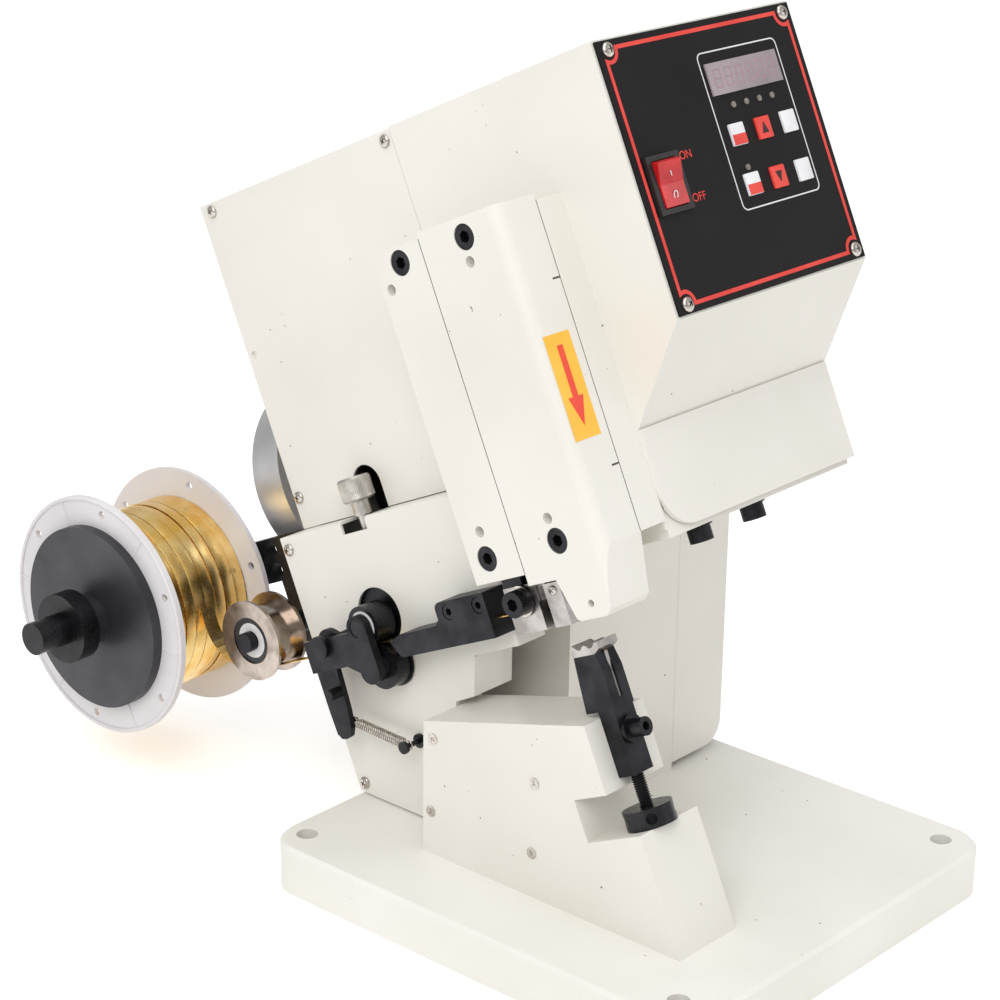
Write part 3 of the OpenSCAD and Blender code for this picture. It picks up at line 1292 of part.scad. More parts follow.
// reel bracket: arm, foot at the rear cover, leg for the pulley stud
arm_h = [186, 212];
leg_b = [143, 180];
leg_drop = 14;
foot_size = [16, 6];
stud_boss = 4;
stud_boss_r = 10;
bracket_hole_r = 5;
stud_heads = [3, 5];
stud_gap = 0.4;
stud_head_rise = 1.8;
stud_collar_rise = 2.5;
bracket_holes = [[181, 205], [181.3, 192.3]];
module reel_bracket() color(black_oxide) lean() {
  difference() {
    union() {
      side(bracket_x, bracket_x + bracket_t) {
        translate([body_back, arm_h[0]]) square([reel_b - body_back, arm_h[1] - arm_h[0]]);
        translate([reel_b, (arm_h[0] + arm_h[1]) / 2]) circle(r = (arm_h[1] - arm_h[0]) / 2, $fn = round_fn);
        translate([leg_b[0], pulley_h - leg_drop]) square([leg_b[1] - leg_b[0], arm_h[0] + cut - pulley_h + leg_drop]);
      }
      block([bracket_x - foot_size[0], bracket_x + cut], [body_back, body_back + foot_size[1]], arm_h);
      rod_x(bracket_x - stud_boss, bracket_x + cut, pulley_b, pulley_h, stud_boss_r);
    }
    for (p = bracket_holes) rod_x(bracket_x - cut, bracket_x + bracket_t + cut, p[0], p[1], bracket_hole_r);
    rod_x(bracket_x - cut, bracket_x + bracket_t + cut, reel_b, reel_h, reel_shaft_r + fit_clear);
  }
  // stud of the guide pulley with its head
  rod_x(pulley_left_x - stud_heads[0], bracket_x - stud_boss + cut, pulley_b, pulley_h, stud_r);
  rod_x(pulley_left_x - stud_heads[1], pulley_left_x - stud_gap, pulley_b, pulley_h, stud_r + stud_head_rise);
  rod_x(pulley_right_x + stud_gap, bracket_x - stud_boss + cut, pulley_b, pulley_h, stud_r + stud_collar_rise);
}
stud_r = 4;
pulley_h = feed_h + strip_t / 2 + strip_gap + pulley_drum_r;
pulley_flange_t = 2;
pulley_face_sink = 1.2;
pulley_face_rim = 4;
module guide_pulley() color(reel_white) lean() difference() {
  union() {
    rod_x(pulley_left_x, pulley_right_x, pulley_b, pulley_h, pulley_drum_r);
    rod_x(pulley_left_x, pulley_left_x + pulley_flange_t, pulley_b, pulley_h, pulley_flange_r);
    rod_x(pulley_right_x - pulley_flange_t, pulley_right_x, pulley_b, pulley_h, pulley_flange_r);
  }
  rod_x(pulley_left_x - cut, pulley_right_x + cut, pulley_b, pulley_h, stud_r + turn_clear);
  rod_x(pulley_left_x - cut, pulley_left_x + pulley_face_sink, pulley_b, pulley_h,
    pulley_drum_r - pulley_face_rim);
}

collar_x = [-131, -119];
reel_gap = 0.5;
reel_boss_rise = 5;
module reel_shaft() color(black_oxide) lean() {
  rod_x(reel_shaft_end_x, bracket_x + bracket_t, reel_b, reel_h, reel_shaft_r);
  rod_x(collar_x[0], collar_x[1], reel_b, reel_h, collar_r);
  rod_x(reel_back_x + reel_gap, bracket_x, reel_b, reel_h, reel_shaft_r + reel_boss_rise);
}
core_r = 28;
eye_inset = 8;
eye_r = 2.5;
module reel_spool() color(reel_white) lean() difference() {
  union() {
    rod_x(reel_front_x, reel_front_x + reel_flange_t, reel_b, reel_h, reel_r);
    rod_x(reel_back_x - reel_flange_t, reel_back_x, reel_b, reel_h, reel_r);
    rod_x(reel_front_x, reel_back_x, reel_b, reel_h, core_r);
  }
  rod_x(reel_front_x - cut, reel_back_x + cut, reel_b, reel_h, reel_shaft_r + turn_clear);
  for (i = [0:5]) rotate_at(reel_b, reel_h, 60 * i) 
    rod_x(reel_front_x - cut, reel_back_x + cut, reel_r - eye_inset, 0, eye_r);
}
module rotate_at(b, h, a) translate([0, b, h]) rotate([a, 0, 0]) children();
hub_disc_t = 6.5;
boss_r = 15;
boss_gap = 0.1;
boss_sink = 1;
module hub_disc() color(black_oxide) lean() difference() {
  union() {
    rod_x(reel_front_x - hub_disc_t, reel_front_x, reel_b, reel_h, hub_disc_r);
    rod_x(collar_x[1] + boss_gap, reel_front_x - boss_sink, reel_b, reel_h, boss_r);
  }
  rod_x(collar_x[0], reel_front_x + cut, reel_b, reel_h, reel_shaft_r + turn_clear);
}

// wound strip: a plain core of full layers, and one unbroken band over it
wound_gap = 0.5;
wound_x = [reel_front_x + reel_flange_t + wound_gap, reel_back_x - reel_flange_t - wound_gap];
wound_end = 1;
band_room = 0.8;
band_edge = 0.15;
band_start_deg = 195;
loop_steps = 24;
band_t = 0.6;
band_gap = 0.1;
band_pitch = (wound_x[1] - wound_x[0] - wound_end) / (wound_loops + 1);
band_w = band_pitch - band_room;
band_core_r = (wound_r - band_t) * cos(180 / loop_steps) - band_gap;
function band_point(i, r, dx) = let (a = 360 * i / loop_steps + band_start_deg)
  [wound_x[0] + wound_end + band_w / 2 + band_pitch * i / loop_steps + dx, reel_b + r * cos(a), reel_h - r * sin(a)];
module strip_winding() color(gold) lean() {
  difference() {
    rod_x(wound_x[0], wound_x[1], reel_b, reel_h, band_core_r);
    rod_x(wound_x[0] - cut, wound_x[1] + cut, reel_b, reel_h, core_r + fit_clear);
  }
  n = wound_loops * loop_steps;
  low = wound_r - band_t;
  pts = [for (i = [0:n]) each [band_point(i, low, -band_w / 2), band_point(i, wound_r - band_edge, -band_w / 2),
    band_point(i, wound_r, -band_w / 4), band_point(i, wound_r, band_w / 4),
    band_point(i, wound_r - band_edge, band_w / 2),
    band_point(i, low, band_w / 2)]];
  walls = [for (i = [0:n - 1], k = [0:5]) let (m = (k + 1) % 6, a = 6 * i, b = a + 6)
    each [[a + k, b + m, a + m], [a + k, b + k, b + m]]];
  polyhedron(pts, concat(walls, [[for (k = [0:5]) k]], [[for (k = [5:-1:0]) 6 * n + k]]));
}
echo(least_gap_between_loops = band_pitch - band_w);
echo(least_gap_between_curls = least_gap(spring_path, 5, spring_wire));

// free strip: from the wound reel under the guide pulley and along the feed line into the die
strip_from_deg = 15;
strip_lift = 0.3;
strip_lead = [5, -21];
strip_sweep_b = 196;
strip_sweep_h = 1.5;
strip_run_in = 4;
strip_end_gap = 0.2;
strip_start = [reel_b - (wound_r + strip_lift) * cos(strip_from_deg),
  reel_h - (wound_r + strip_lift) * sin(strip_from_deg)];
// smooth curve through four points
function bez(p, t) = let (u = 1 - t) u * u * u * p[0] + 3 * u * u * t * p[1] + 3 * u * t * t * p[2] + t * t * t * p[3];
strip_mid = concat([for (i = [0:12]) bez([strip_start, strip_start + strip_lead,
  [strip_sweep_b, feed_h + strip_sweep_h], [pulley_b + strip_run_in, feed_h]], i / 12)],
  [[pulley_b, feed_h], [strip_end_gap - groove_back, feed_h]]);
function strip_nrm(i) = let (t = unit(strip_mid[min(i + 1, len(strip_mid) - 1)] - strip_mid[max(i - 1, 0)])) [-t[1], t[0]];
module feed_strip() color(gold) lean() side(feed_x - strip_w / 2, feed_x + strip_w / 2)
  polygon(concat([for (i = [0:len(strip_mid) - 1]) strip_mid[i] + strip_nrm(i) * strip_t / 2],
    [for (i = [len(strip_mid) - 1:-1:0]) strip_mid[i] - strip_nrm(i) * strip_t / 2]));

base_plate();
main_frame();
upper_side_cover();
lower_side_cover();
right_cover();
rear_cover();
control_box();
lower_front_cover();
control_panel();
display_window();
status_leds();
switch_bezel();
power_rocker();
key_a1();
key_a2();
key_a3();
key_b1();
key_b2();
key_b3();
ram_guide();
ram_cover_plate();
housing_screws();
ram();
crimp_punch();
crankshaft();
flywheel();
crank_bearings();
crank_pulley();
drive_motor();
motor_pulley();
drive_belt();
head_bolts();
cutting_die();
die_spacer();
strip_clamp();
die_clamp_screw();
strip_guide_bar();
bar_screws();
feed_side_plate();
drive_roller();
pressure_lever();
pressure_roller();
lever_pivot();
feed_housing();
tension_spring();
spring_anchor();
feed_knob();
anvil_block();
die_holder();
lower_die();
adjusting_screw();
capstan_nut();
clamp_bolt();
reel_bracket();
reel_shaft();
reel_spool();
hub_disc();
strip_winding();
guide_pulley();
feed_strip();
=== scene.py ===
"""Looks of a terminal crimping machine: press head, strip feed, reel and control panel.

Millimetres are used for sizes and turned to metres where a mesh is made. Parts of the leaning
press head are placed by x (operator's right), b (to the rear) and h (up along the ram).
"""

import json
import logging
import math
from dataclasses import dataclass
from enum import Enum
from typing import Callable, Optional, Sequence

import bmesh
import bpy
from mathutils import Matrix, Vector

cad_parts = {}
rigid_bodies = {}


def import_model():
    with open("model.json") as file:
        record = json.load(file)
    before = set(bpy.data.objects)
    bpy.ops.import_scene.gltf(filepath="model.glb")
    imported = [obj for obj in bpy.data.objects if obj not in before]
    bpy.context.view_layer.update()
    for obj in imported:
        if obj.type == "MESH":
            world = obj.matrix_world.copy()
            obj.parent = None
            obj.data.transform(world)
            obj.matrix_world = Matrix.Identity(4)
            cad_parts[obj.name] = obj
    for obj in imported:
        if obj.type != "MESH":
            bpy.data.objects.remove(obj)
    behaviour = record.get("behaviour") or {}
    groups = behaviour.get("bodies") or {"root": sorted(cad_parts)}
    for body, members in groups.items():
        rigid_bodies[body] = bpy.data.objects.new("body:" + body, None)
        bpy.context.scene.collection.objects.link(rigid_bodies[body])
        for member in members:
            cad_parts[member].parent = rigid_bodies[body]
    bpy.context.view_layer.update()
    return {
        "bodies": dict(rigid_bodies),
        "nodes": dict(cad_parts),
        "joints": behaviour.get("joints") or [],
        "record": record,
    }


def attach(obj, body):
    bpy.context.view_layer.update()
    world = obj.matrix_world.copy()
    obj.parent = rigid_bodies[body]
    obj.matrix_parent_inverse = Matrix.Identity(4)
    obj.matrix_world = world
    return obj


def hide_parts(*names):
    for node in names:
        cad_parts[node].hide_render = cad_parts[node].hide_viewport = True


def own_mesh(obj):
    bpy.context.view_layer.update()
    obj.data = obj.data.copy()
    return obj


LOG = logging.getLogger("crimping_machine")
MM = 0.001
LEAN = math.radians(25.0)
BASE_TOP = 28.0
FILM = 0.12
WHITE = (1.0, 1.0, 1.0, 1.0)

BMesh = bmesh.types.BMesh
Tree = bpy.types.NodeTree
Outline = Sequence[tuple[float, float]]
Build = Callable[[BMesh], None]
Spots = Sequence[tuple[Vector, Vector, Vector]]


def at(x: float, b: float, h: float) -> Vector:
    """Gives a point of the leaning head.

    Args:
        x: millimetres to the operator's right.
        b: millimetres to the rear, square to the ram.
        h: millimetres up along the ram from the base's top.

    Returns:
        The point in metres in the shared frame.
    """
    return Vector((x, b * math.cos(LEAN) + h * math.sin(LEAN),
                   BASE_TOP + h * math.cos(LEAN) - b * math.sin(LEAN))) * MM


RIGHT = Vector((1, 0, 0))
REAR = Vector((0, math.cos(LEAN), -math.sin(LEAN)))
UP = Vector((0, math.sin(LEAN), math.cos(LEAN)))


class Side(Enum):
    """Which way a face of the leaning head looks: outward, and to the right as seen from outside."""

    FRONT = (-REAR, RIGHT)
    BACK = (REAR, -RIGHT)
    LEFT = (-RIGHT, -REAR)
    RIGHT_HAND = (RIGHT, REAR)
    TOP = (UP, RIGHT)

    def matrix(self, place: Vector) -> Matrix:
        """Gives the placing of a flat piece on this face: x to the right, y up, z outward."""
        out, across = self.value
        up = out.cross(across)
        m = Matrix((across, up, out)).transposed().to_4x4()
        m.translation = place
        return m


def colour(text: str) -> tuple[float, float, float, float]:
    """Turns an sRGB hex colour to the linear values that a shader socket takes.

    Args:
        text: the colour, such as "#EBE8DD".

    Returns:
        Red, green, blue and 1.
    """
    raw = [int(text[i:i + 2], 16) / 255 for i in (1, 3, 5)]
    lin = [c / 12.92 if c <= 0.04045 else ((c + 0.055) / 1.055) ** 2.4 for c in raw]
    return (*lin, 1.0)


def add(tree: Tree, kind: str, inputs: Optional[dict] = None,
        **settings: object) -> bpy.types.Node:
    """Adds a node with its settings and links.

    Args:
        tree: the tree that gets the node.
        kind: the node's type name.
        inputs: sockets by name or place, each with a value or the socket that it is linked from.
        **settings: the node's own properties.

    Returns:
        The new node.
    """
    node = tree.nodes.new(kind)
    for name, value in settings.items():
        setattr(node, name, value)
    for key, value in (inputs or {}).items():
        if isinstance(value, bpy.types.Node):
            value = value.outputs[0]
        if isinstance(value, bpy.types.NodeSocket):
            tree.links.new(value, node.inputs[key])
        else:
            node.inputs[key].default_value = value
    return node


def calc(tree: Tree, operation: str, *values: object, **settings: object) -> bpy.types.Node:
    """Adds a node that works out one number from its values."""
    return add(tree, "ShaderNodeMath", dict(enumerate(values)), operation=operation, **settings)


def empty_material(name: str) -> tuple[bpy.types.Material, Tree]:
    """Makes a material whose node tree is empty."""
    mat = bpy.data.materials.new(name)
    mat.use_nodes = True
    mat.node_tree.nodes.clear()
    return mat, mat.node_tree


def linked(name: str, data: bpy.types.ID) -> bpy.types.Object:
    """Makes an object and links it to the scene."""
    obj = bpy.data.objects.new(name, data)
    bpy.context.scene.collection.objects.link(obj)
    return obj


def baked(obj: bpy.types.Object) -> bpy.types.Mesh:
    """Keeps what an object's modifiers make as a plain mesh, and removes the object."""
    bpy.context.view_layer.update()
    made = bpy.data.meshes.new_from_object(obj.evaluated_get(bpy.context.evaluated_depsgraph_get()))
    bpy.data.objects.remove(obj)
    return made


@dataclass(frozen=True)
class Finish:
    """A surface finish: what it is made of, and how it was made.

    Attributes:
        name: the material's name.
        slot: name of a material slot of the part; not used.
        dark: colour of the pattern's dark end.
        light: colour of its light end.
        roughness: least and greatest roughness.
        specular: level of the plain reflection, 0.5 for most paints.
        grain_mm: size of the fine pattern, which also gives the relief.
        cloud_mm: size of the broad pattern.
        stretch: scale of the grain along each axis, below 1 for long lines.
        lean: 1 where the grain leans with the press head.
        centre: point in metres that the grain starts from.
        rings: whether the grain runs in rings about the centre's axis.
        specks: how far the chips in the paint reach into the noise.
    """

    name: str
    slot: str
    dark: str
    light: str
    roughness: tuple[float, float]
    metallic: float = 0.0
    ior: float = 1.5
    specular: float = 0.5
    coat: float = 0.0
    grain_mm: float = 1.0
    cloud_mm: float = 40.0
    bump: float = 0.1
    bump_mm: float = 0.02
    stretch: tuple[float, float, float] = (1.0, 1.0, 1.0)
    lean: float = 0.0
    centre: tuple[float, float, float] = (0.0, 0.0, 0.0)
    rings: bool = False
    specks: float = 0.0
    speck_hex: str = "#6A6258"

    def made(self) -> bpy.types.Material:
        """Builds the material once, or gives the one built before."""
        return bpy.data.materials.get(self.name) or self.build()

    def build(self) -> bpy.types.Material:
        """Builds the node tree: a pattern on Object coordinates that varies colour, gloss and relief.

        Returns:
            The new material.
        """
        mat, tree = empty_material(self.name)
        cloud_low, cloud_high, grain_low, grain_high = 0.35, 0.65, 0.3, 0.7
        grain_share, contrast, speck_scale, speck_edge = 0.35, 0.8, 260.0, 0.01
        where = add(tree, "ShaderNodeTexCoord").outputs["Object"]
        pattern = add(tree, "ShaderNodeMapping",
                      {0: where, "Location": self.centre, "Rotation": (-LEAN * self.lean, 0, 0)},
                      vector_type="TEXTURE").outputs[0]
        if self.rings:
            axes = add(tree, "ShaderNodeSeparateXYZ", {0: pattern})
            flat = add(tree, "ShaderNodeCombineXYZ", {0: axes.outputs[0], 1: axes.outputs[2]})
            radius = add(tree, "ShaderNodeVectorMath", {0: flat}, operation="LENGTH")
            pattern = add(tree, "ShaderNodeCombineXYZ", {0: radius.outputs["Value"]}).outputs[0]
        grained = add(tree, "ShaderNodeVectorMath", {0: pattern, 1: self.stretch}, operation="MULTIPLY")
        grain = add(tree, "ShaderNodeTexNoise",
                    {"Vector": grained, "Scale": 1000 / self.grain_mm, "Detail": 3.0, "Roughness": 0.55})
        cloud = add(tree, "ShaderNodeTexNoise",
                    {"Vector": where, "Scale": 1000 / self.cloud_mm, "Detail": 4.0})
        shade = add(tree, "ShaderNodeMapRange", {0: cloud, 1: cloud_low, 2: cloud_high})
        both = calc(tree, "MULTIPLY_ADD", grain, grain_share, shade)
        share = calc(tree, "MULTIPLY", both, contrast, use_clamp=True)
        base = add(tree, "ShaderNodeMix", {0: share, 6: colour(self.dark), 7: colour(self.light)},
                   data_type="RGBA").outputs[2]
        if self.specks:
            cells = add(tree, "ShaderNodeTexNoise", {"Vector": where, "Scale": speck_scale, "Detail": 1.0})
            chip = add(tree, "ShaderNodeMapRange",
                       {0: cells, 1: 1 - self.specks, 2: 1 + speck_edge - self.specks})
            base = add(tree, "ShaderNodeMix", {0: chip, 6: base, 7: colour(self.speck_hex)},
                       data_type="RGBA").outputs[2]
        rough = add(tree, "ShaderNodeMapRange",
                    {0: grain, 1: grain_low, 2: grain_high, 3: self.roughness[0], 4: self.roughness[1]})
        relief = add(tree, "ShaderNodeBump",
                     {"Strength": self.bump, "Distance": self.bump_mm * MM, "Height": grain})
        shader = add(tree, "ShaderNodeBsdfPrincipled",
                     {"Base Color": base, "Roughness": rough, "Metallic": self.metallic, "IOR": self.ior,
                      "Specular IOR Level": self.specular, "Coat Weight": self.coat, "Normal": relief})
        add(tree, "ShaderNodeOutputMaterial", {0: shader})
        return mat


CRANK_AXIS = tuple(at(40, 161, 236))

# Stoved enamel on steel and castings: even ivory with a faint orange peel and rare small chips.
IVORY = Finish("ivory_enamel", "cream_paint", "#E3E0D7", "#ECE9E2", (0.34, 0.46), coat=0.12, grain_mm=1.6,
               cloud_mm=120, bump=0.12, bump_mm=0.05, specks=0.19)
# The same enamel on the machined base, painted a little lighter than on the head as painted light on its
# upward flats, with a coarser grain.
BASE_IVORY_LIT = Finish("base_enamel_painted_lighter", "cream_paint", "#E8E6DE", "#F0EEE8", (0.36, 0.5), coat=0.1, grain_mm=2.2,
                    cloud_mm=90, bump=0.14, bump_mm=0.06, specks=0.19)
# Aluminium panel with a black screen print: even, dull, with a fine leathery texture.
PANEL_BLACK = Finish("screen_printed_panel", "black_panel", "#100D0E", "#171415", (0.45, 0.58), specular=0.2,
                     grain_mm=0.5, cloud_mm=60, bump=0.2, bump_mm=0.02)
# Red screen ink, slightly raised and satin.
RED_INK = Finish("red_screen_ink", "red_plastic", "#D8352C", "#E8463B", (0.4, 0.5), grain_mm=0.4, cloud_mm=30)
# White screen ink.
WHITE_INK = Finish("white_screen_ink", "white_plastic", "#D9D9DC", "#EDEDF0", (0.45, 0.55), grain_mm=0.4)
# Moulded white key caps: smooth ABS.
KEY_WHITE = Finish("moulded_white_keys", "white_plastic", "#DEDEE2", "#EEEEF1", (0.3, 0.38), grain_mm=0.8,
                   cloud_mm=15)
# Moulded red key caps.
KEY_RED = Finish("moulded_red_keys", "red_plastic", "#DB3A30", "#EA483C", (0.3, 0.38), grain_mm=0.8,
                 cloud_mm=15)
# Dark print on the keys.
KEY_PRINT = Finish("dark_key_print", "black_panel", "#2A1513", "#3A1D1A", (0.5, 0.6), grain_mm=0.4)
# Clear red polycarbonate of the lit rocker: deep and very glossy.
ROCKER_RED = Finish("red_polycarbonate", "red_plastic", "#B30D14", "#DB1D20", (0.1, 0.16), coat=0.5, ior=1.58,
                    grain_mm=2, cloud_mm=12)
# Smoked acrylic over the unlit digits: pale mauve-grey and glossy.
WINDOW = Finish("smoked_acrylic", "dark_window", "#8E8288", "#A99CA2", (0.08, 0.14), coat=0.3, ior=1.49,
                grain_mm=6, cloud_mm=35, bump=0.0)
# Unlit segments behind the window.
SEGMENT = Finish("unlit_segments", "dark_window", "#9F8288", "#B28F95", (0.3, 0.4), grain_mm=0.5)
# Clear lenses of the unlit lamps.
LENS = Finish("lamp_lenses", "red_plastic", "#6E6660", "#8E8880", (0.12, 0.2), grain_mm=0.8, cloud_mm=4)
# Moulded black plastic of the switch frame.
BLACK_MOULDED = Finish("black_moulded_plastic", "black_panel", "#1B1B1C", "#272728", (0.38, 0.48),
                       grain_mm=0.5, bump=0.2)
# Black oxide on ground steel: blue-grey black, satin, rubbed lighter in clouds.
BLACK_OXIDE = Finish("black_oxide_steel", "black_oxide", "#1B1B1E", "#35353A", (0.34, 0.5), metallic=0.75,
                     grain_mm=0.7, cloud_mm=14, bump=0.15)
# Black oxide on turned parts: smoother and glossier.
BLACK_TURNED = Finish("black_oxide_turned", "black_oxide", "#1A1A1C", "#2E2E32", (0.24, 0.34), metallic=0.7,
                      grain_mm=1.2, cloud_mm=18, bump=0.06, bump_mm=0.01)
# Black oxide on the broad hub disc: greyer, satin.
BLACK_DISC = Finish("black_oxide_disc", "black_oxide", "#38373B", "#4B4A4F", (0.34, 0.44), metallic=0.6,
                    grain_mm=1.2, cloud_mm=30, bump=0.06, bump_mm=0.01)
# Ground tool steel: bright, with fine parallel lines from the wheel.
GROUND_STEEL = Finish("ground_tool_steel", "bright_steel", "#8F8B88", "#BDB9B6", (0.24, 0.4), metallic=1.0,
                      grain_mm=0.35, cloud_mm=10, stretch=(1.0, 0.08, 0.08), lean=1.0, bump=0.12,
                      bump_mm=0.01)
# Zinc-plated screws: bright and slightly warm.
PLATED = Finish("zinc_plated_screws", "bright_steel", "#A9A39C", "#D2CCC4", (0.16, 0.28), metallic=1.0,
                grain_mm=0.5, cloud_mm=3)
# Turned and lapped steel of the guide pulley: mirror-like drum, fine rings.
TURNED_PULLEY = Finish("turned_steel_pulley", "pulley_alloy", "#94877D", "#C4B9AF", (0.12, 0.24),
                       metallic=1.0, grain_mm=0.3, cloud_mm=9, bump=0.08, bump_mm=0.008)
# Satin ground steel of the flywheel with turning rings round its axis.
TURNED_WHEEL = Finish("turned_flywheel", "satin_steel", "#BABABC", "#DCDCDE", (0.34, 0.46), metallic=0.85,
                      grain_mm=0.7, cloud_mm=50, rings=True, lean=1.0, centre=CRANK_AXIS, bump=0.15)
# Knurled aluminium of the feed knob.
KNURLED = Finish("knurled_aluminium", "bright_steel", "#A7A39C", "#C9C5BE", (0.28, 0.4), metallic=0.9,
                 grain_mm=0.4, cloud_mm=8)
# Moulded white polystyrene of the reel.
REEL_WHITE = Finish("moulded_polystyrene", "reel_plastic", "#DAD6D8", "#E7E4E6", (0.3, 0.42), grain_mm=3,
                    cloud_mm=60, bump=0.08, bump_mm=0.05)
# Rolled brass strip: bright gold with lines along the rolling direction.
BRASS = Finish("rolled_brass_strip", "copper_strip", "#EDBB55", "#FFE2A0", (0.22, 0.32), metallic=1.0,
               grain_mm=0.8, cloud_mm=16, stretch=(6.0, 0.3, 0.3), bump=0.1, bump_mm=0.01)
# Shadowed brass between the bands of the winding.
DARK_BRASS = Finish("brass_between_bands", "copper_strip", "#8A6526", "#A87F38", (0.4, 0.55), metallic=0.9,
                    grain_mm=0.8, cloud_mm=16)
# Brown tempered blade steel.
BLADE = Finish("tempered_blade", "black_oxide", "#33281F", "#5A463A", (0.3, 0.42), metallic=0.8, grain_mm=0.6,
               cloud_mm=6)
# Motor enamel: dark grey, hammered.
MOTOR = Finish("motor_enamel", "motor_paint", "#2C2F33", "#43474C", (0.35, 0.5), grain_mm=2.5, cloud_mm=20,
               bump=0.3, bump_mm=0.1)
# Rubber and fabric of the belt.
BELT = Finish("belt_rubber_face", "belt_rubber", "#161616", "#262524", (0.6, 0.8), grain_mm=0.9, cloud_mm=12,
              bump=0.3, bump_mm=0.05)
# Yellow vinyl film of the arrow.
YELLOW_FILM = Finish("yellow_vinyl_film", "cream_paint", "#F3B936", "#FBC446", (0.3, 0.4), grain_mm=1.0,
                     cloud_mm=20)
# Red vinyl film of the arrow.
RED_FILM = Finish("red_vinyl_film", "red_plastic", "#E8412A", "#F04F36", (0.3, 0.4), cloud_mm=20)
# Shadow in the joint between two painted castings.
SEAM = Finish("joint_shadow", "black_panel", "#4A4641", "#5E5A54", (0.7, 0.9), grain_mm=0.8, cloud_mm=10)
# Nylon ring of a bearing.
NYLON = Finish("nylon_ring", "white_plastic", "#CFCDCB", "#E6E5E4", (0.35, 0.45), grain_mm=1.0, cloud_mm=6)
# Rubber seal of a bearing.
SEAL = Finish("bearing_seal", "black_oxide", "#1A1A1B", "#2A2A2B", (0.4, 0.5), grain_mm=0.6, cloud_mm=6)


class Kit:
    """Makes pieces and hands them to the frame."""

    @staticmethod
    def piece(name: str, mesh: bpy.types.Mesh, finish: Finish, body: str) -> bpy.types.Object:
        """Links a mesh as one piece that rides on a body.

        Args:
            name: the piece's name.
            mesh: its mesh in metres, in the shared frame.
            finish: its surface.
            body: the body that it moves with.

        Returns:
            The new object.
        """
        obj = linked(name, mesh)
        mesh.materials.clear()
        mesh.materials.append(finish.made())
        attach(obj, body)
        LOG.info("%s: %d faces on %s", name, len(mesh.polygons), body)
        return obj

    @staticmethod
    def mesh(name: str, build: Build, place: Optional[Matrix] = None,
             smooth_deg: float = 0.0) -> bpy.types.Mesh:
        """Builds a closed mesh in millimetres and places it.

        Args:
            name: the mesh's name.
            build: fills an empty bmesh in millimetres.
            place: moves it to its place in metres.
            smooth_deg: edges sharper than this stay sharp, and 0 leaves all faces flat.

        Returns:
            The mesh in metres.
        """
        bm = bmesh.new()
        build(bm)
        bmesh.ops.remove_doubles(bm, verts=bm.verts, dist=1e-5)
        bmesh.ops.recalc_face_normals(bm, faces=bm.faces)
        bmesh.ops.scale(bm, vec=(MM,) * 3, verts=bm.verts)
        if place is not None:
            bmesh.ops.transform(bm, matrix=place, verts=bm.verts)
        Kit.soften(bm, smooth_deg)
        made = bpy.data.meshes.new(name)
        bm.to_mesh(made)
        bm.free()
        return made

    @staticmethod
    def form(name: str, build: Build, place: Matrix, finish: Finish, body: str,
             smooth_deg: float = 0.0) -> bpy.types.Object:
        """Builds a mesh at its place and makes it a piece. See mesh and piece for the arguments."""
        return Kit.piece(name, Kit.mesh(name, build, place, smooth_deg), finish, body)

    @staticmethod
    def soften(bm: BMesh, smooth_deg: float) -> None:
        """Shades faces smooth and keeps edges sharper than the angle."""
        for face in bm.faces:
            face.smooth = smooth_deg > 0
        for edge in bm.edges:
            edge.smooth = edge.calc_face_angle(0.0) < math.radians(smooth_deg)

    @staticmethod
    def dress(frame: dict, finish: Finish, *nodes: str) -> None:
        """Gives carried-over CAD nodes their finish."""
        for name in nodes:
            data = frame["nodes"][name].data
            if not data.materials:
                data.materials.append(finish.made())
            for i in range(len(data.materials)):
                data.materials[i] = finish.made()
            LOG.info("%s: %s", name, finish.name)


def polar(r: float, angle: float) -> tuple[float, float]:
    """Gives the point at a radius and an angle in radians."""
    return r * math.cos(angle), r * math.sin(angle)


def skin(bm: BMesh, rows: Sequence[Sequence[bmesh.types.BMVert]], closed: bool = True) -> None:
    """Joins each row of vertices to the next one with faces.

    Args:
        bm: gets the faces.
        rows: rows of equally many vertices.
        closed: whether each row runs back to its start.
    """
    for near, far in zip(rows, rows[1:]):
        for i in range(len(near) - (not closed)):
            j = (i + 1) % len(near)
            corners = list(dict.fromkeys((near[i], near[j], far[j], far[i])))
            if len(corners) > 2:
                bm.faces.new(corners)


def lathe(bm: BMesh, profile: Outline, steps: int = 48) -> None:
    """Turns a profile about the z axis into a closed solid.

    Args:
        bm: gets the faces.
        profile: radius and height of each point. A closed ring profile repeats its first point.
        steps: faces round the axis.
    """
    rings = []
    for r, z in profile:
        if r == 0:
            rings.append([bm.verts.new((0, 0, z))] * steps)
        else:
            rings.append([bm.verts.new((*polar(r, 2 * math.pi * i / steps), z)) for i in range(steps)])
    skin(bm, rings)


def slab(bm: BMesh, outline: Outline, low: float, high: float) -> None:
    """Raises an outline into a closed plate.

    Args:
        bm: gets the faces.
        outline: corner points in order.
        low: height of its underside.
        high: height of its top.
    """
    under = [bm.verts.new((x, y, low)) for x, y in outline]
    over = [bm.verts.new((x, y, high)) for x, y in outline]
    bm.faces.new(under[::-1])
    bm.faces.new(over)
    for i in range(len(outline)):
        j = (i + 1) % len(outline)
        bm.faces.new((under[i], under[j], over[j], over[i]))


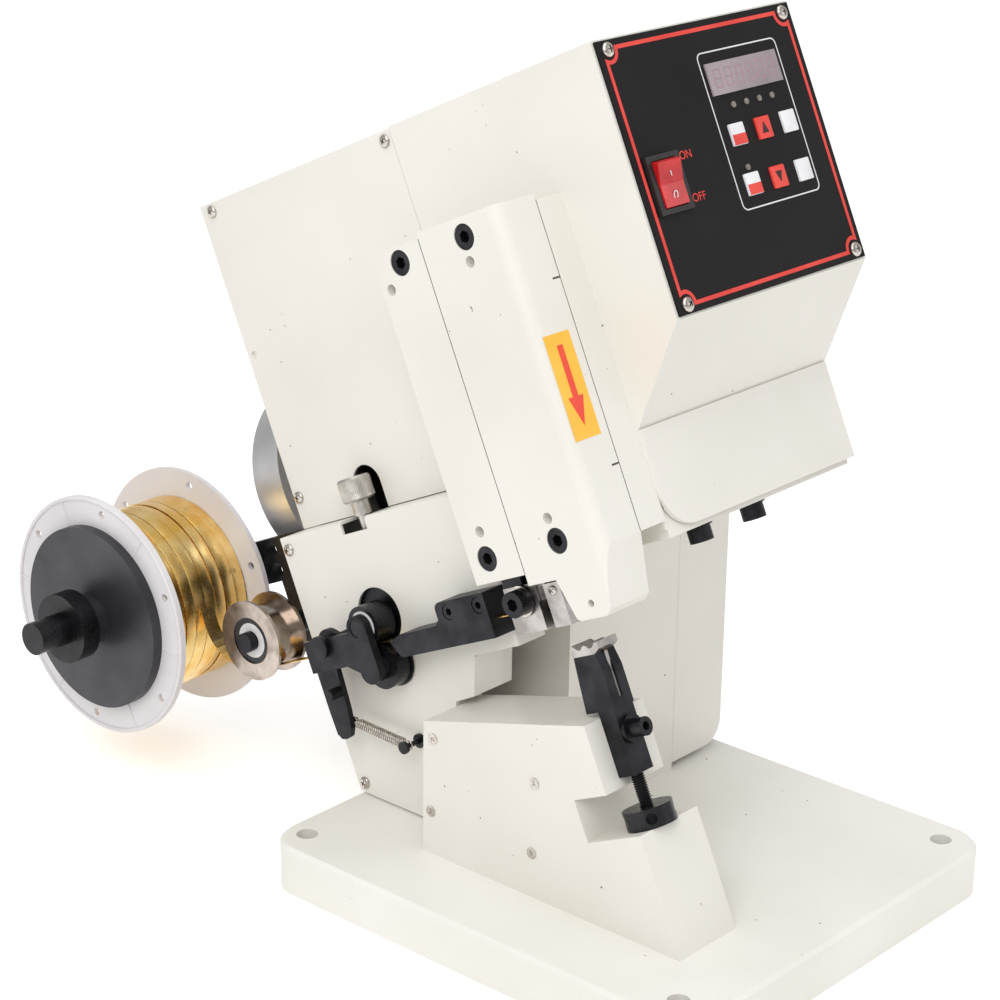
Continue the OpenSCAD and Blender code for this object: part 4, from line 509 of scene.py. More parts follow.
def ribbon(bm: BMesh, loop: Outline, width: float, low: float, high: float) -> None:
    """Raises a closed line of constant width, such as a printed border.

    Args:
        bm: gets the faces.
        loop: points of the line's middle, in order round it.
        width: the line's width.
        low: height of its underside.
        high: height of its top.
    """
    rails: list[list[bmesh.types.BMVert]] = []
    sharpest = 0.4
    for side, z in ((-0.5, low), (0.5, low), (0.5, high), (-0.5, high)):
        rail = []
        for i in range(len(loop)):
            p, here, q = (Vector(loop[k % len(loop)]) for k in (i - 1, i, i + 1))
            a, b = (here - p).normalized(), (q - here).normalized()
            mitre = Vector((-a.y - b.y, a.x + b.x)).normalized()
            reach = side * width / max(sharpest, mitre.dot(Vector((-a.y, a.x))))
            rail.append(bm.verts.new((here.x + mitre.x * reach, here.y + mitre.y * reach, z)))
        rails.append(rail)
    skin(bm, [*rails, rails[0]])


def plate(outline: Outline, low: float = -FILM, high: float = FILM) -> Build:
    """Gives the builder of a plate, by default as thin as a film."""
    return lambda bm: slab(bm, outline, low, high)


def line(loop: Outline, width: float) -> Build:
    """Gives the builder of a thin closed line."""
    return lambda bm: ribbon(bm, loop, width, -FILM, FILM)


def turned(profile: Outline, steps: int = 48) -> Build:
    """Gives the builder of a turned solid."""
    return lambda bm: lathe(bm, profile, steps)


def collar(inner: float, outer: float, rise: float) -> Build:
    """Gives the builder of a flat ring that stands on z = 0."""
    return turned([(inner, 0), (outer, 0), (outer, rise), (inner, rise), (inner, 0)])


def box(x0: float, x1: float, y0: float, y1: float) -> Outline:
    """Gives the corners of a rectangle."""
    return [(x0, y0), (x1, y0), (x1, y1), (x0, y1)]


def arc(cx: float, cy: float, r: float, start: float, end: float, steps: int = 8) -> Outline:
    """Gives points of an arc between two angles in degrees."""
    turns = (polar(r, math.radians(start + (end - start) * i / steps)) for i in range(steps + 1))
    return [(cx + x, cy + y) for x, y in turns]


def rounded(x0: float, x1: float, y0: float, y1: float, r: float, steps: int = 8) -> Outline:
    """Gives the outline of a rectangle with round corners."""
    corners = ((x1 - r, y1 - r), (x0 + r, y1 - r), (x0 + r, y0 + r), (x1 - r, y0 + r))
    return [p for k, (x, y) in enumerate(corners) for p in arc(x, y, r, 90 * k, 90 * k + 90, steps)]


class Pattern:
    """A Geometry Nodes tree that is run once and kept as a plain mesh."""

    def __init__(self, name: str, inputs: dict[str, str]) -> None:
        """Makes an empty tree with named inputs.

        Args:
            name: the tree's name.
            inputs: socket type of each named input.
        """
        self.tree = bpy.data.node_groups.new(name, "GeometryNodeTree")
        self.tree.interface.new_socket("Geometry", in_out="INPUT", socket_type="NodeSocketGeometry")
        self.ids = {key: self.tree.interface.new_socket(key, in_out="INPUT", socket_type=kind).identifier
                    for key, kind in inputs.items()}
        self.tree.interface.new_socket("Geometry", in_out="OUTPUT", socket_type="NodeSocketGeometry")
        self.source = add(self.tree, "NodeGroupInput")

    def close(self, geometry: bpy.types.NodeSocket, smooth: Optional[bool] = None) -> None:
        """Ends the tree: real geometry, shading and material.

        Args:
            geometry: what the tree has made.
            smooth: whether its faces are shaded smooth. None keeps each face's own shading.
        """
        made = add(self.tree, "GeometryNodeRealizeInstances", {0: geometry})
        if smooth is not None:
            made = add(self.tree, "GeometryNodeSetShadeSmooth", {0: made, "Shade Smooth": smooth})
        finished = add(self.tree, "GeometryNodeSetMaterial",
                       {0: made, "Material": self.source.outputs["Material"]})
        add(self.tree, "NodeGroupOutput", {0: finished})

    def run(self, host: bpy.types.Mesh, values: dict[str, object]) -> bpy.types.Mesh:
        """Evaluates the tree on a host mesh.

        Args:
            host: the mesh that the tree starts from.
            values: value of each named input.

        Returns:
            The result as a plain mesh.
        """
        carrier = linked("pattern_host", host)
        modifier = carrier.modifiers.new("pattern", "NODES")
        modifier.node_group = self.tree
        for key, value in values.items():
            modifier[self.ids[key]] = value
        return baked(carrier)


def repeat_pattern() -> Pattern:
    """Builds the tree that sets one small form at each point, turned to the point's facing."""
    made = Pattern("repeat_on_points", {"Form": "NodeSocketObject", "Material": "NodeSocketMaterial",
                                        "Spin": "NodeSocketFloat", "Seed": "NodeSocketInt"})
    tree, source = made.tree, made.source
    form = add(tree, "GeometryNodeObjectInfo", {"Object": source.outputs["Form"]})
    facing = add(tree, "GeometryNodeInputNamedAttribute", {"Name": "facing"}, data_type="FLOAT_VECTOR")
    across = add(tree, "GeometryNodeInputNamedAttribute", {"Name": "across"}, data_type="FLOAT_VECTOR")
    upright = add(tree, "FunctionNodeAlignRotationToVector", {"Vector": facing}, axis="Z")
    squared = add(tree, "FunctionNodeAlignRotationToVector", {"Rotation": upright, "Vector": across},
                  axis="X", pivot_axis="Z")
    spin = add(tree, "FunctionNodeRandomValue", {"Seed": source.outputs["Seed"]}, data_type="FLOAT")
    twist = calc(tree, "MULTIPLY", spin.outputs[1], source.outputs["Spin"])
    about = add(tree, "FunctionNodeAxisAngleToRotation", {"Axis": (0, 0, 1), "Angle": twist})
    final = add(tree, "FunctionNodeRotateRotation", {0: squared, 1: about}, rotation_space="LOCAL")
    sets = add(tree, "GeometryNodeInstanceOnPoints",
               {"Points": source, "Instance": form.outputs["Geometry"], "Rotation": final})
    made.close(sets.outputs[0])
    return made


def tube_pattern() -> Pattern:
    """Builds the tree that runs a round wire along the host's chain of points."""
    made = Pattern("wire_on_path", {"Radius": "NodeSocketFloat", "Sides": "NodeSocketInt",
                                    "Material": "NodeSocketMaterial"})
    tree, source = made.tree, made.source
    path = add(tree, "GeometryNodeMeshToCurve", {0: source.outputs["Geometry"]})
    section = add(tree, "GeometryNodeCurvePrimitiveCircle",
                  {"Resolution": source.outputs["Sides"], "Radius": source.outputs["Radius"]}, mode="RADIUS")
    wire = add(tree, "GeometryNodeCurveToMesh",
               {"Curve": path, "Profile Curve": section.outputs[0], "Fill Caps": True})
    made.close(wire.outputs[0], True)
    return made


def knurl_pattern() -> Pattern:
    """Builds the tree that cuts crossed grooves into the host's rim, outside a given radius."""
    made = Pattern("crossed_grooves", {"Rim": "NodeSocketFloat", "Depth": "NodeSocketFloat",
                                       "Count": "NodeSocketFloat", "Twist": "NodeSocketFloat",
                                       "Material": "NodeSocketMaterial"})
    tree, source = made.tree, made.source
    place = add(tree, "ShaderNodeSeparateXYZ", {0: add(tree, "GeometryNodeInputPosition")})
    angle = calc(tree, "ARCTAN2", place.outputs[1], place.outputs[0])
    round_part = calc(tree, "MULTIPLY", angle, source.outputs["Count"])
    climb = calc(tree, "MULTIPLY", place.outputs[2], source.outputs["Twist"])
    phases = (calc(tree, sense, round_part, climb) for sense in ("ADD", "SUBTRACT"))
    waves = [calc(tree, "ABSOLUTE", calc(tree, "SINE", phase)) for phase in phases]
    sunk = calc(tree, "SUBTRACT", calc(tree, "MINIMUM", *waves), 1.0)
    deep = calc(tree, "MULTIPLY", sunk, source.outputs["Depth"])
    level = add(tree, "ShaderNodeCombineXYZ", {0: place.outputs[0], 1: place.outputs[1]})
    spread = add(tree, "ShaderNodeVectorMath", {0: level}, operation="LENGTH")
    outward = add(tree, "ShaderNodeVectorMath", {0: level}, operation="NORMALIZE")
    push = add(tree, "ShaderNodeVectorMath", {0: outward, "Scale": deep}, operation="SCALE")
    on_rim = add(tree, "FunctionNodeCompare", {0: spread.outputs["Value"], 1: source.outputs["Rim"]},
                 data_type="FLOAT", operation="GREATER_THAN")
    moved = add(tree, "GeometryNodeSetPosition",
                {"Geometry": source.outputs["Geometry"], "Selection": on_rim, "Offset": push})
    made.close(moved.outputs[0], False)
    return made


def chain(name: str, points: Sequence[Vector]) -> bpy.types.Mesh:
    """Makes a mesh that is only a chain of edges."""
    made = bpy.data.meshes.new(name)
    made.from_pydata([tuple(p) for p in points], [(i, i + 1) for i in range(len(points) - 1)], [])
    return made


def places(name: str, spots: Spots) -> bpy.types.Mesh:
    """Makes a mesh of points that carry which way each faces.

    Args:
        name: the mesh's name.
        spots: place, outward direction and direction of the form's x axis.

    Returns:
        The points with their attributes.
    """
    made = bpy.data.meshes.new(name)
    made.from_pydata([tuple(s[0]) for s in spots], [], [])
    for index, key in ((1, "facing"), (2, "across")):
        values = made.attributes.new(key, "FLOAT_VECTOR", "POINT")
        values.data.foreach_set("vector", [c for s in spots for c in s[index]])
    return made


class Repeater:
    """Sets copies of one small form on the machine."""

    def __init__(self) -> None:
        """Builds the tree that all repeats share."""
        self.pattern = repeat_pattern()

    def set_on(self, name: str, form: bpy.types.Mesh, spots: Sequence[tuple[Vector, Side]], finish: Finish,
               body: str, spin: float = 0.0, seed: int = 3) -> bpy.types.Object:
        """Repeats a form at places on faces of the leaning head.

        Args:
            name: the piece's name.
            form: the form in metres, standing on z = 0.
            spots: place and face of each copy.
            finish: its surface.
            body: the body that it moves with.
            spin: largest turn about its own axis in radians.
            seed: seed of those turns.

        Returns:
            One piece that holds all the copies.
        """
        rows = [(place, side.value[0], side.value[1]) for place, side in spots]
        return self.set_free(name, form, rows, finish, body, spin, seed)

    def set_free(self, name: str, form: bpy.types.Mesh, rows: Spots, finish: Finish, body: str,
                 spin: float = 0.0, seed: int = 3) -> bpy.types.Object:
        """Repeats a form at places with any facing, given as place, outward and x directions."""
        pattern_form = linked(name + "_form", form)
        made = self.pattern.run(places(name + "_places", rows),
                                {"Form": pattern_form, "Material": finish.made(), "Spin": spin, "Seed": seed})
        bpy.data.objects.remove(pattern_form)
        return Kit.piece(name, made, finish, body)


def cross_screw(head_r: float, head_t: float, domed: float = 1.0) -> bpy.types.Mesh:
    """Makes a domed head with a cross recess.

    Args:
        head_r: radius of the head.
        head_t: height of the head.
        domed: share of the height that is domed. Nought gives a flat countersunk head.

    Returns:
        The head, standing on z = 0.
    """
    crown_share, crown_degrees, faces = 0.75, (0, 20, 42, 64), 32
    arm_share, reach_share, depth_share, taper = 0.13, 0.56, 0.65, 0.6
    rim = head_t * (1 - domed * crown_share)
    dome = [(x, rim + y * (head_t - rim) / head_r)
            for x, y in (polar(head_r, math.radians(a)) for a in crown_degrees)]

    def cross(bm: BMesh) -> None:
        a, b = head_r * arm_share, head_r * reach_share
        star = [(b, -a), (b, a), (a, a), (a, b), (-a, b), (-a, a),
                (-b, a), (-b, -a), (-a, -a), (-a, -b), (a, -b), (a, -a)]
        slab(bm, star, head_t * (1 - depth_share), head_t * 1.5)
        for v in bm.verts:
            if v.co.z < head_t:
                v.co.x *= taper
                v.co.y *= taper

    blank = turned([(0, 0), (head_r, 0), *dome, (0, head_t)], faces)
    head = linked("head", Kit.mesh("screw_head", blank, smooth_deg=35))
    tool = linked("tool", Kit.mesh("cross_tool", cross))
    cut = head.modifiers.new("recess", "BOOLEAN")
    cut.object = tool
    cut.operation = "DIFFERENCE"
    cut.solver = "EXACT"
    made = baked(head)
    bpy.data.objects.remove(tool)
    return made


@dataclass
class PanelFace:
    """Printing, keys, lamps and screws on the front panel."""

    face: float = -184.6
    edges: tuple = (-38.25, 119.75, 265.0, 405.0)
    inset: float = 4.4
    border_w: float = 2.1
    screw_gap: float = 6.4
    screws: tuple = ((-31.0, 400.0), (112.4, 400.0), (112.6, 270.0), (-31.0, 269.8))
    counter_frame: tuple = (33.6, 99.6, 305.8, 388.3)
    counter_frame_r: float = 3.5
    counter_frame_w: float = 0.7
    digits_mid: tuple = (66.4, 374.0)
    digit_count: int = 6
    digit_pitch: float = 9.0
    window_rise: float = 1.0
    key_rows: tuple = (("a", 344.2, 1), ("b", 317.9, -1))
    key_columns: tuple = ((1, 46.5, KEY_WHITE), (2, 68.4, KEY_RED), (3, 90.3, KEY_WHITE))
    key_half: float = 5.8
    key_lip: float = 0.35
    key_rise: float = 1.25
    letter_size: float = 6.2
    letters: tuple = (("mark_on", "ON", -2.9, 339.0), ("mark_off", "OFF", -2.9, 317.0))
    rocker_mid: tuple = (-18.4, 329.4)
    rocker_tilt: float = math.radians(7.0)

    def spot(self, x: float, h: float, rise: float = 0.0) -> Matrix:
        """Gives the placing of a flat piece on the panel."""
        return Side.FRONT.matrix(at(x, self.face - rise, h))

    def border(self) -> None:
        """Makes the red border with a hollow round each corner screw."""
        x0, x1, h0, h1 = self.edges
        x0, x1, h0, h1 = x0 + self.inset, x1 - self.inset, h0 + self.inset, h1 - self.inset
        r = self.screw_gap
        corners = ((x0, h1, -1, 1), (x1, h1, 1, 1), (x1, h0, 1, -1), (x0, h0, -1, -1))
        loop: list[tuple[float, float]] = []
        for (sx, sh), (cx, ch, way_x, way_h) in zip(self.screws, corners):
            side = (cx, sh - way_h * math.sqrt(r * r - (cx - sx) ** 2))
            end = (sx - way_x * math.sqrt(r * r - (ch - sh) ** 2), ch)
            first, last = (side, end) if way_x * way_h < 0 else (end, side)
            middle = math.degrees(math.atan2(-way_h, -way_x))
            turns = (math.degrees(math.atan2(q[1] - sh, q[0] - sx)) for q in (first, last))
            a, b = (middle + (turn - middle + 180) % 360 - 180 for turn in turns)
            loop += arc(sx, sh, r, a, b, steps=10)
        Kit.form("red_border", line(loop, self.border_w), self.spot(0, 0), RED_INK, "frame")

    def outline(self) -> None:
        """Makes the white outline round the counter and keys."""
        loop = rounded(*self.counter_frame, self.counter_frame_r)
        Kit.form("counter_outline", line(loop, self.counter_frame_w), self.spot(0, 0), WHITE_INK, "frame")

    def digits(self) -> None:
        """Makes the unlit seven-segment digits on the display window."""
        wide, tall, half_bar, lean = 2.5, 4.6, 0.4, 0.08
        level, upright = (2.0 + half_bar, half_bar), (half_bar, tall / 2 - 0.5 + half_bar)
        bars = [(0.0, y, level) for y in (tall, 0.0, -tall)]
        bars += [(x, y, upright) for y in (tall / 2, -tall / 2) for x in (-wide, wide)]
        mid_x, mid_h = self.digits_mid

        def build(bm: BMesh) -> None:
            for i in range(self.digit_count):
                centre = mid_x + (i - (self.digit_count - 1) / 2) * self.digit_pitch
                for x, y, (w, t) in bars:
                    bx, by = centre + x + y * lean, mid_h + y
                    slab(bm, box(bx - w, bx + w, by - t, by + t), -FILM, FILM / 2)
        Kit.form("counter_digits", build, self.spot(0, 0, self.window_rise), SEGMENT, "frame")

    def keys(self) -> None:
        """Makes the six low moulded keys, each on its button, and prints them."""
        half, lip, rise = self.key_half, self.key_lip, self.key_rise
        corner, foot = 0.7, -1.5
        levels = ((half, foot), (half, rise - lip), (half - lip * 0.35, rise - lip * 0.3), (half - lip, rise))

        def cap(bm: BMesh) -> None:
            rings = [[bm.verts.new((x, y, z)) for x, y in rounded(-size, size, -size, size, corner, 4)]
                     for size, z in levels]
            skin(bm, rings)
            bm.faces.new(rings[0][::-1])
            bm.faces.new(rings[-1])
        for row, h, _ in self.key_rows:
            for column, x, finish in self.key_columns:
                place = self.spot(x, h)
                key = Kit.form(f"key_cap_{row}{column}", cap, place, finish, f"button_{row}{column}",
                               smooth_deg=30)
                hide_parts(f"key_{row}{column}")
        self.key_prints()

    def key_prints(self) -> None:
        """Prints the red lower halves of the first keys and the arrows of the second ones."""
        edge = self.key_half - self.key_lip
        x, arrow_x = self.key_columns[0][1], self.key_columns[1][1]
        half_w, foot, tip = 2.7, 2.9, 3.3
        place = self.spot(0, 0, self.key_rise)
        for row, h, _ in self.key_rows:
            half_key = plate(box(x - edge, x + edge, h - edge, h))
            Kit.form(f"red_half_{row}1", half_key, place, KEY_RED, f"button_{row}1")
        for row, h, way in self.key_rows:
            arrow = [(arrow_x - half_w, h - foot * way), (arrow_x + half_w, h - foot * way),
                     (arrow_x, h + tip * way)][::way]
            Kit.form(f"key_arrow_{row}2", plate(arrow), place, KEY_PRINT, f"button_{row}2")

    def words(self) -> None:
        """Prints ON and OFF beside the switch."""
        for name, text, x, h in self.letters:
            curve = bpy.data.curves.new(name, "FONT")
            curve.body, curve.size, curve.extrude, curve.resolution_u = text, self.letter_size, FILM, 4
            flat = baked(linked(name + "_text", curve))
            flat.transform(self.spot(x, h) @ Matrix.Scale(MM, 4))
            Kit.piece(name, flat, RED_INK, "frame")

    def rocker_marks(self) -> None:
        """Prints I on the rocker's upper face and O on its lower face."""
        x, h = self.rocker_mid
        pivot, crown, fall, half_h, slope = at(x, self.face, h), 5.0, 1.6, 12.2, 0.13
        wide, tall, thin = 1.5, 2.0, 0.25
        stroke = plate(box(-thin, thin, -tall, tall))
        loop = line([(wide * x, tall * y) for x, y in arc(0, 0, 1, 0, 345, steps=23)], 2 * thin)
        marks = (("mark_i", stroke, 5.6, 1, 0.0), ("mark_o", loop, -6.0, -1, 0.2))
        for name, build, height, way, lift in marks:
            out = crown - fall * (1 - abs(height) / half_h) + lift
            shift = Matrix.Translation(Vector((0, height, out)) * MM)
            seat = (Side.FRONT.matrix(pivot) @ Matrix.Rotation(self.rocker_tilt, 4, "X") @ shift
                    @ Matrix.Rotation(-slope * way, 4, "X"))
            Kit.form(name, build, seat, WHITE_INK, "rocker")

    def make(self, frame: dict, repeater: Repeater) -> None:
        """Dresses the panel and adds its prints, keys and corner screws."""
        Kit.dress(frame, PANEL_BLACK, "control_panel")
        Kit.dress(frame, WINDOW, "display_window")
        Kit.dress(frame, LENS, "status_leds")
        Kit.dress(frame, BLACK_MOULDED, "switch_bezel")
        Kit.dress(frame, ROCKER_RED, "power_rocker")
        Kit.dress(frame, KEY_WHITE, "key_a1", "key_a3", "key_b1", "key_b3")
        Kit.dress(frame, KEY_RED, "key_a2", "key_b2")
        self.border()
        self.outline()
        self.digits()
        self.keys()
        self.words()
        self.rocker_marks()
        spots = [(at(x, self.face, h), Side.FRONT) for x, h in self.screws]
        form = cross_screw(head_r=4.0, head_t=2.6)
        repeater.set_on("panel_screws", form, spots, PLATED, "frame", spin=3.0, seed=5)


@dataclass
class Housings:
    """Painted base, frame, covers, ram housing and anvil with their screws and label."""

    painted: tuple = ("main_frame", "upper_side_cover", "lower_side_cover", "right_cover", "rear_cover",
                      "control_box", "lower_front_cover", "ram_guide", "ram_cover_plate", "anvil_block")
    ram_face: float = -136.0
    ram_left: float = -90.0
    label: tuple = (-85.2, -66.0, 222.0, 276.0)
    left_screws: tuple = ((-40.0, 121.5, 400.0), (-40.0, 126.0, 231.0), (-40.0, -27.7, 399.5),
                          (-59.5, 125.5, 205.0), (-59.5, 125.0, 66.0))
    right_x: float = 130.5
    right_screws: tuple = ((118.0, 390.0), (118.0, 240.0), (-22.0, 390.0), (118.0, 60.0))
    rear_b: float = 132.0
    rear_screws: tuple = ((-28.0, 395.0), (-28.0, 250.0), (118.0, 395.0), (118.0, 250.0))
    anvil_x: float = -87.0
    anvil_spots: tuple = ((63.6, 68.8), (64.8, 25.5), (-8.3, 66.6), (-7.3, 25.8))

    def make(self, frame: dict, repeater: Repeater) -> None:
        """Dresses the painted parts and adds screws and the arrow label."""
        Kit.dress(frame, IVORY, *self.painted)
        # The base takes the copy of the enamel that is painted lighter, as painted light.
        Kit.dress(frame, BASE_IVORY_LIT, "base_plate")
        self.cover_screws(repeater)
        self.anvil_screws(repeater)
        self.seams()
        self.arrow()

    def cover_screws(self, repeater: Repeater) -> None:
        """Sets pan heads on the sheet covers, each on the face that it holds."""
        spots = [(at(*p), Side.LEFT) for p in self.left_screws]
        spots += [(at(self.right_x, b, h), Side.RIGHT_HAND) for b, h in self.right_screws]
        spots += [(at(x, self.rear_b, h), Side.BACK) for x, h in self.rear_screws]
        form = cross_screw(head_r=3.6, head_t=2.2)
        repeater.set_on("cover_screws", form, spots, PLATED, "frame", spin=3.0, seed=11)

    def anvil_screws(self, repeater: Repeater) -> None:
        """Sets the flat-headed screws in the anvil's left face, sunk level with the paint."""
        rows = [(Vector((self.anvil_x, y, BASE_TOP + z)) * MM, -RIGHT, Vector((0, -1, 0)))
                for y, z in self.anvil_spots]
        form = cross_screw(head_r=3.2, head_t=0.5, domed=0.2)
        repeater.set_free("anvil_screws", form, rows, PLATED, "frame", spin=3.0, seed=17)

    def seams(self) -> None:
        """Draws the dark joint between ram housing and cover plate, with the two shim notches beside it."""
        half, top, front_x, left_b, notch_x, notch_t = 0.22, 341.9, -60.0, 79.0, -65.6, 1.0
        fronts = [box(front_x - half, front_x + half, 169.5, top)]
        fronts += [box(notch_x, front_x, h, h + notch_t) for h in (301.6, 204.8)]

        def front_lines(bm: BMesh) -> None:
            for outline in fronts:
                slab(bm, outline, -FILM, FILM / 2)
        side_line = plate(box(left_b - half, left_b + half, 164.6, top), -FILM, FILM / 2)
        front = Side.FRONT.matrix(at(0, self.ram_face, 0))
        Kit.form("housing_seams_front", front_lines, front, SEAM, "frame")
        Kit.form("housing_seam_left", side_line, Side.LEFT.matrix(at(self.ram_left, 0, 0)), SEAM, "frame")

    def arrow(self) -> None:
        """Lays the yellow label with its red arrow on the ram housing's front."""
        x0, x1, h0, h1 = self.label
        mid, stem, wide = (x0 + x1) / 2, 2.1, 5.6
        tip_gap, tail_gap, head_h = 6.5, 6.0, 15.0
        tip, tail = h0 + tip_gap, h1 - tail_gap
        barb = tip + head_h
        mark = [(mid, tip), (mid + wide, barb), (mid + stem, barb), (mid + stem, tail),
                (mid - stem, tail), (mid - stem, barb), (mid - wide, barb)]
        for name, shape, rise, finish in (("arrow_label", plate(box(x0, x1, h0, h1)), 0.0, YELLOW_FILM),
                                          ("direction_arrow", plate(mark, 0.0), FILM, RED_FILM)):
            Kit.form(name, shape, Side.FRONT.matrix(at(0, self.ram_face - rise, 0)), finish, "frame")


@dataclass
class PressTools:
    """Ram, crank drive, upper and lower tools."""

    screw_r: float = 3.65
    pitch: float = 1.25
    screw_span: tuple = (23.8, 56.0)
    screw_axis: tuple = (-66.5, -88.5)
    washer_at: tuple = (-77.55, -57.7, 150.0)
    clamp_screw_at: tuple = (-76.0, -80.5, 152.0)
    blade_span: tuple = (-67.75, -65.25, 115.0, 118.05)
    blade_depth: tuple = (83.95, 94.05)

    def make(self, frame: dict, repeater: Repeater) -> None:
        """Dresses the drive and the tools and adds the small turned and ground faces."""
        Kit.dress(frame, GROUND_STEEL, "ram", "crimp_punch", "crankshaft", "cutting_die", "strip_clamp",
                  "lower_die")
        Kit.dress(frame, BLACK_TURNED, "crank_bearings", "clamp_bolt", "die_clamp_screw", "capstan_nut")
        Kit.dress(frame, TURNED_WHEEL, "flywheel")
        Kit.dress(frame, KNURLED, "crank_pulley", "motor_pulley")
        Kit.dress(frame, MOTOR, "drive_motor")
        Kit.dress(frame, BELT, "drive_belt")
        Kit.dress(frame, BLACK_OXIDE, "housing_screws", "head_bolts", "die_spacer", "die_holder")
        self.thread()
        # The die's blade wears a thin tempered skin, and the washer of its clamp screw a bright face.
        blade = plate(box(*self.blade_span), *self.blade_depth)
        Kit.form("tempered_blade_tip", blade, Side.FRONT.matrix(at(0, 0, 0)), BLADE, "lower_tool")
        washer, place = collar(inner=7.1, outer=8.4, rise=0.15), Side.LEFT.matrix(at(*self.washer_at))
        Kit.form("clamp_washer_face", washer, place, PLATED, "frame", smooth_deg=30)
        form, spots = cross_screw(head_r=2.6, head_t=1.2), [(at(*self.clamp_screw_at), Side.LEFT)]
        repeater.set_on("strip_clamp_screw", form, spots, PLATED, "frame", spin=0.6, seed=7)

    def thread(self) -> None:
        """Replaces the plain adjusting screw with a threaded one of the same reach."""
        low, high = self.screw_span
        span, steps = high - low, 24
        margin, start, depth_share, core_over = 2.0, 1.2, 0.55, 0.02
        turns = int((span - margin) / self.pitch)
        root = self.screw_r - depth_share * self.pitch
        # The heights of the thread's section are shares of the pitch.
        shape = ((root, -0.5), (root, -0.44), (self.screw_r, -0.06), (self.screw_r, 0.06), (root, 0.44))
        core = [(0, 0), (root * 0.9, 0), (root + core_over, 0.8), (root + core_over, span), (0, span)]

        def build(bm: BMesh) -> None:
            rails = []
            for i in range(turns * steps + 1):
                a, z = 2 * math.pi * i / steps, self.pitch * i / steps + start
                rails.append([bm.verts.new((*polar(r, a), z + k * self.pitch)) for r, k in shape])
            skin(bm, rails, closed=False)
            lathe(bm, core, steps * 2)
        place = Side.TOP.matrix(at(*self.screw_axis, low))
        screw = Kit.form("threaded_adjusting_screw", build, place, BLACK_TURNED, "lower_tool", smooth_deg=30)
        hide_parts("adjusting_screw")


@dataclass
class StripFeed:
    """Rollers, lever, spring, knob and guide of the strip feed."""

    ring_at: tuple = (-75.4, 67.7, 155.225)
    spring_start: tuple = (-69.0, 107.5, 104.0)
    spring_end: tuple = (-69.0, 69.0, 84.5)
    post_radii: tuple = (1.2, 1.5)
    wire: float = 0.9
    coil_d: float = 6.0
    curls: int = 24
    knob_at: tuple = (-49.0, 67.7, 221.0)
    knob_h: float = 13.5
    knob_r: float = 9.6

    def make(self, frame: dict) -> None:
        """Dresses the feed and makes its spring, knurled knob and nylon ring."""
        Kit.dress(frame, BLACK_OXIDE, "strip_guide_bar", "bar_screws", "feed_side_plate", "pressure_lever",
                  "lever_pivot", "feed_housing")
        Kit.dress(frame, BLACK_TURNED, "drive_roller", "pressure_roller", "spring_anchor")
        Kit.dress(frame, BRASS, "feed_strip")
        self.spring()
        self.knob()
        ring, place = collar(inner=6.0, outer=8.6, rise=0.3), Side.LEFT.matrix(at(*self.ring_at))
        Kit.form("drive_roller_ring", ring, place, NYLON, "feed_drive", smooth_deg=30)

    def spring(self) -> None:
        """Runs round wire through the end loops and close curls of the tension spring."""
        start, end = Vector(self.spring_start), Vector(self.spring_end)
        r, seat, lead = (self.coil_d - self.wire) / 2, 0.3, 0.9
        hook_steps, hook_turn, coil_steps, fade = 16, 300, 20, 12
        along = (end - start).normalized()
        side = RIGHT.cross(along)
        first, last = (r - self.wire / 2 - seat - post for post in self.post_radii)
        first, last = start + along * first, end - along * last
        length = (last - first).length - 2 * (r + lead)

        def swing(degrees: float, one: Vector, other: Vector) -> Vector:
            x, y = polar(r, math.radians(degrees))
            return x * one + y * other

        path = [first + swing(60 + hook_turn * i / hook_steps, along, side) for i in range(hook_steps + 1)]
        n = self.curls * coil_steps
        for i in range(n + 1):
            grown = min(1.0, (i + 2) / fade, (n - i + 2) / fade)
            path.append(first + along * (r + lead + length * i / n)
                        + grown * swing(45 + 360 * i / coil_steps, side, RIGHT))
        path += [last + swing(180 - hook_turn * i / hook_steps, along, side) for i in range(hook_steps + 1)]
        mesh = tube_pattern().run(chain("spring_path", [at(*p) for p in path]),
                                  {"Radius": self.wire / 2 * MM, "Sides": 10, "Material": PLATED.made()})
        piece = Kit.piece("tension_spring_wire", mesh, PLATED, "frame")
        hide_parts("tension_spring")
        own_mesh(piece)

    def knob(self) -> None:
        """Turns the feed knob and knurls its rim."""
        r, top = self.knob_r, self.knob_h
        stem_r, stem_foot, neck_r, neck_foot, chamfer, dish_r, dish = 4.0, -55.0, 5.5, -8.0, 1.2, 4.2, 0.5
        rim_steps, faces, grooves, groove_t = 22, 180, 30.0, 0.35
        profile = [(0.0, stem_foot), (stem_r, stem_foot), (stem_r, neck_foot), (neck_r, neck_foot),
                   (neck_r, 0.0), (r - chamfer, 0.0)]
        profile += [(r, chamfer + (top - 2 * chamfer) * i / rim_steps) for i in range(rim_steps + 1)]
        profile += [(r - chamfer, top), (dish_r, top), (dish_r - 0.4, top - dish), (0.0, top - dish)]
        host = Kit.mesh("knob_blank", turned(profile, faces))
        mesh = knurl_pattern().run(host, {"Rim": (r - 0.3) * MM, "Depth": groove_t * MM, "Count": grooves,
                                          "Twist": grooves / (r * MM), "Material": KNURLED.made()})
        mesh.transform(Side.TOP.matrix(at(*self.knob_at)))
        knob = Kit.piece("knurled_feed_knob", mesh, KNURLED, "knob")
        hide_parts("feed_knob")


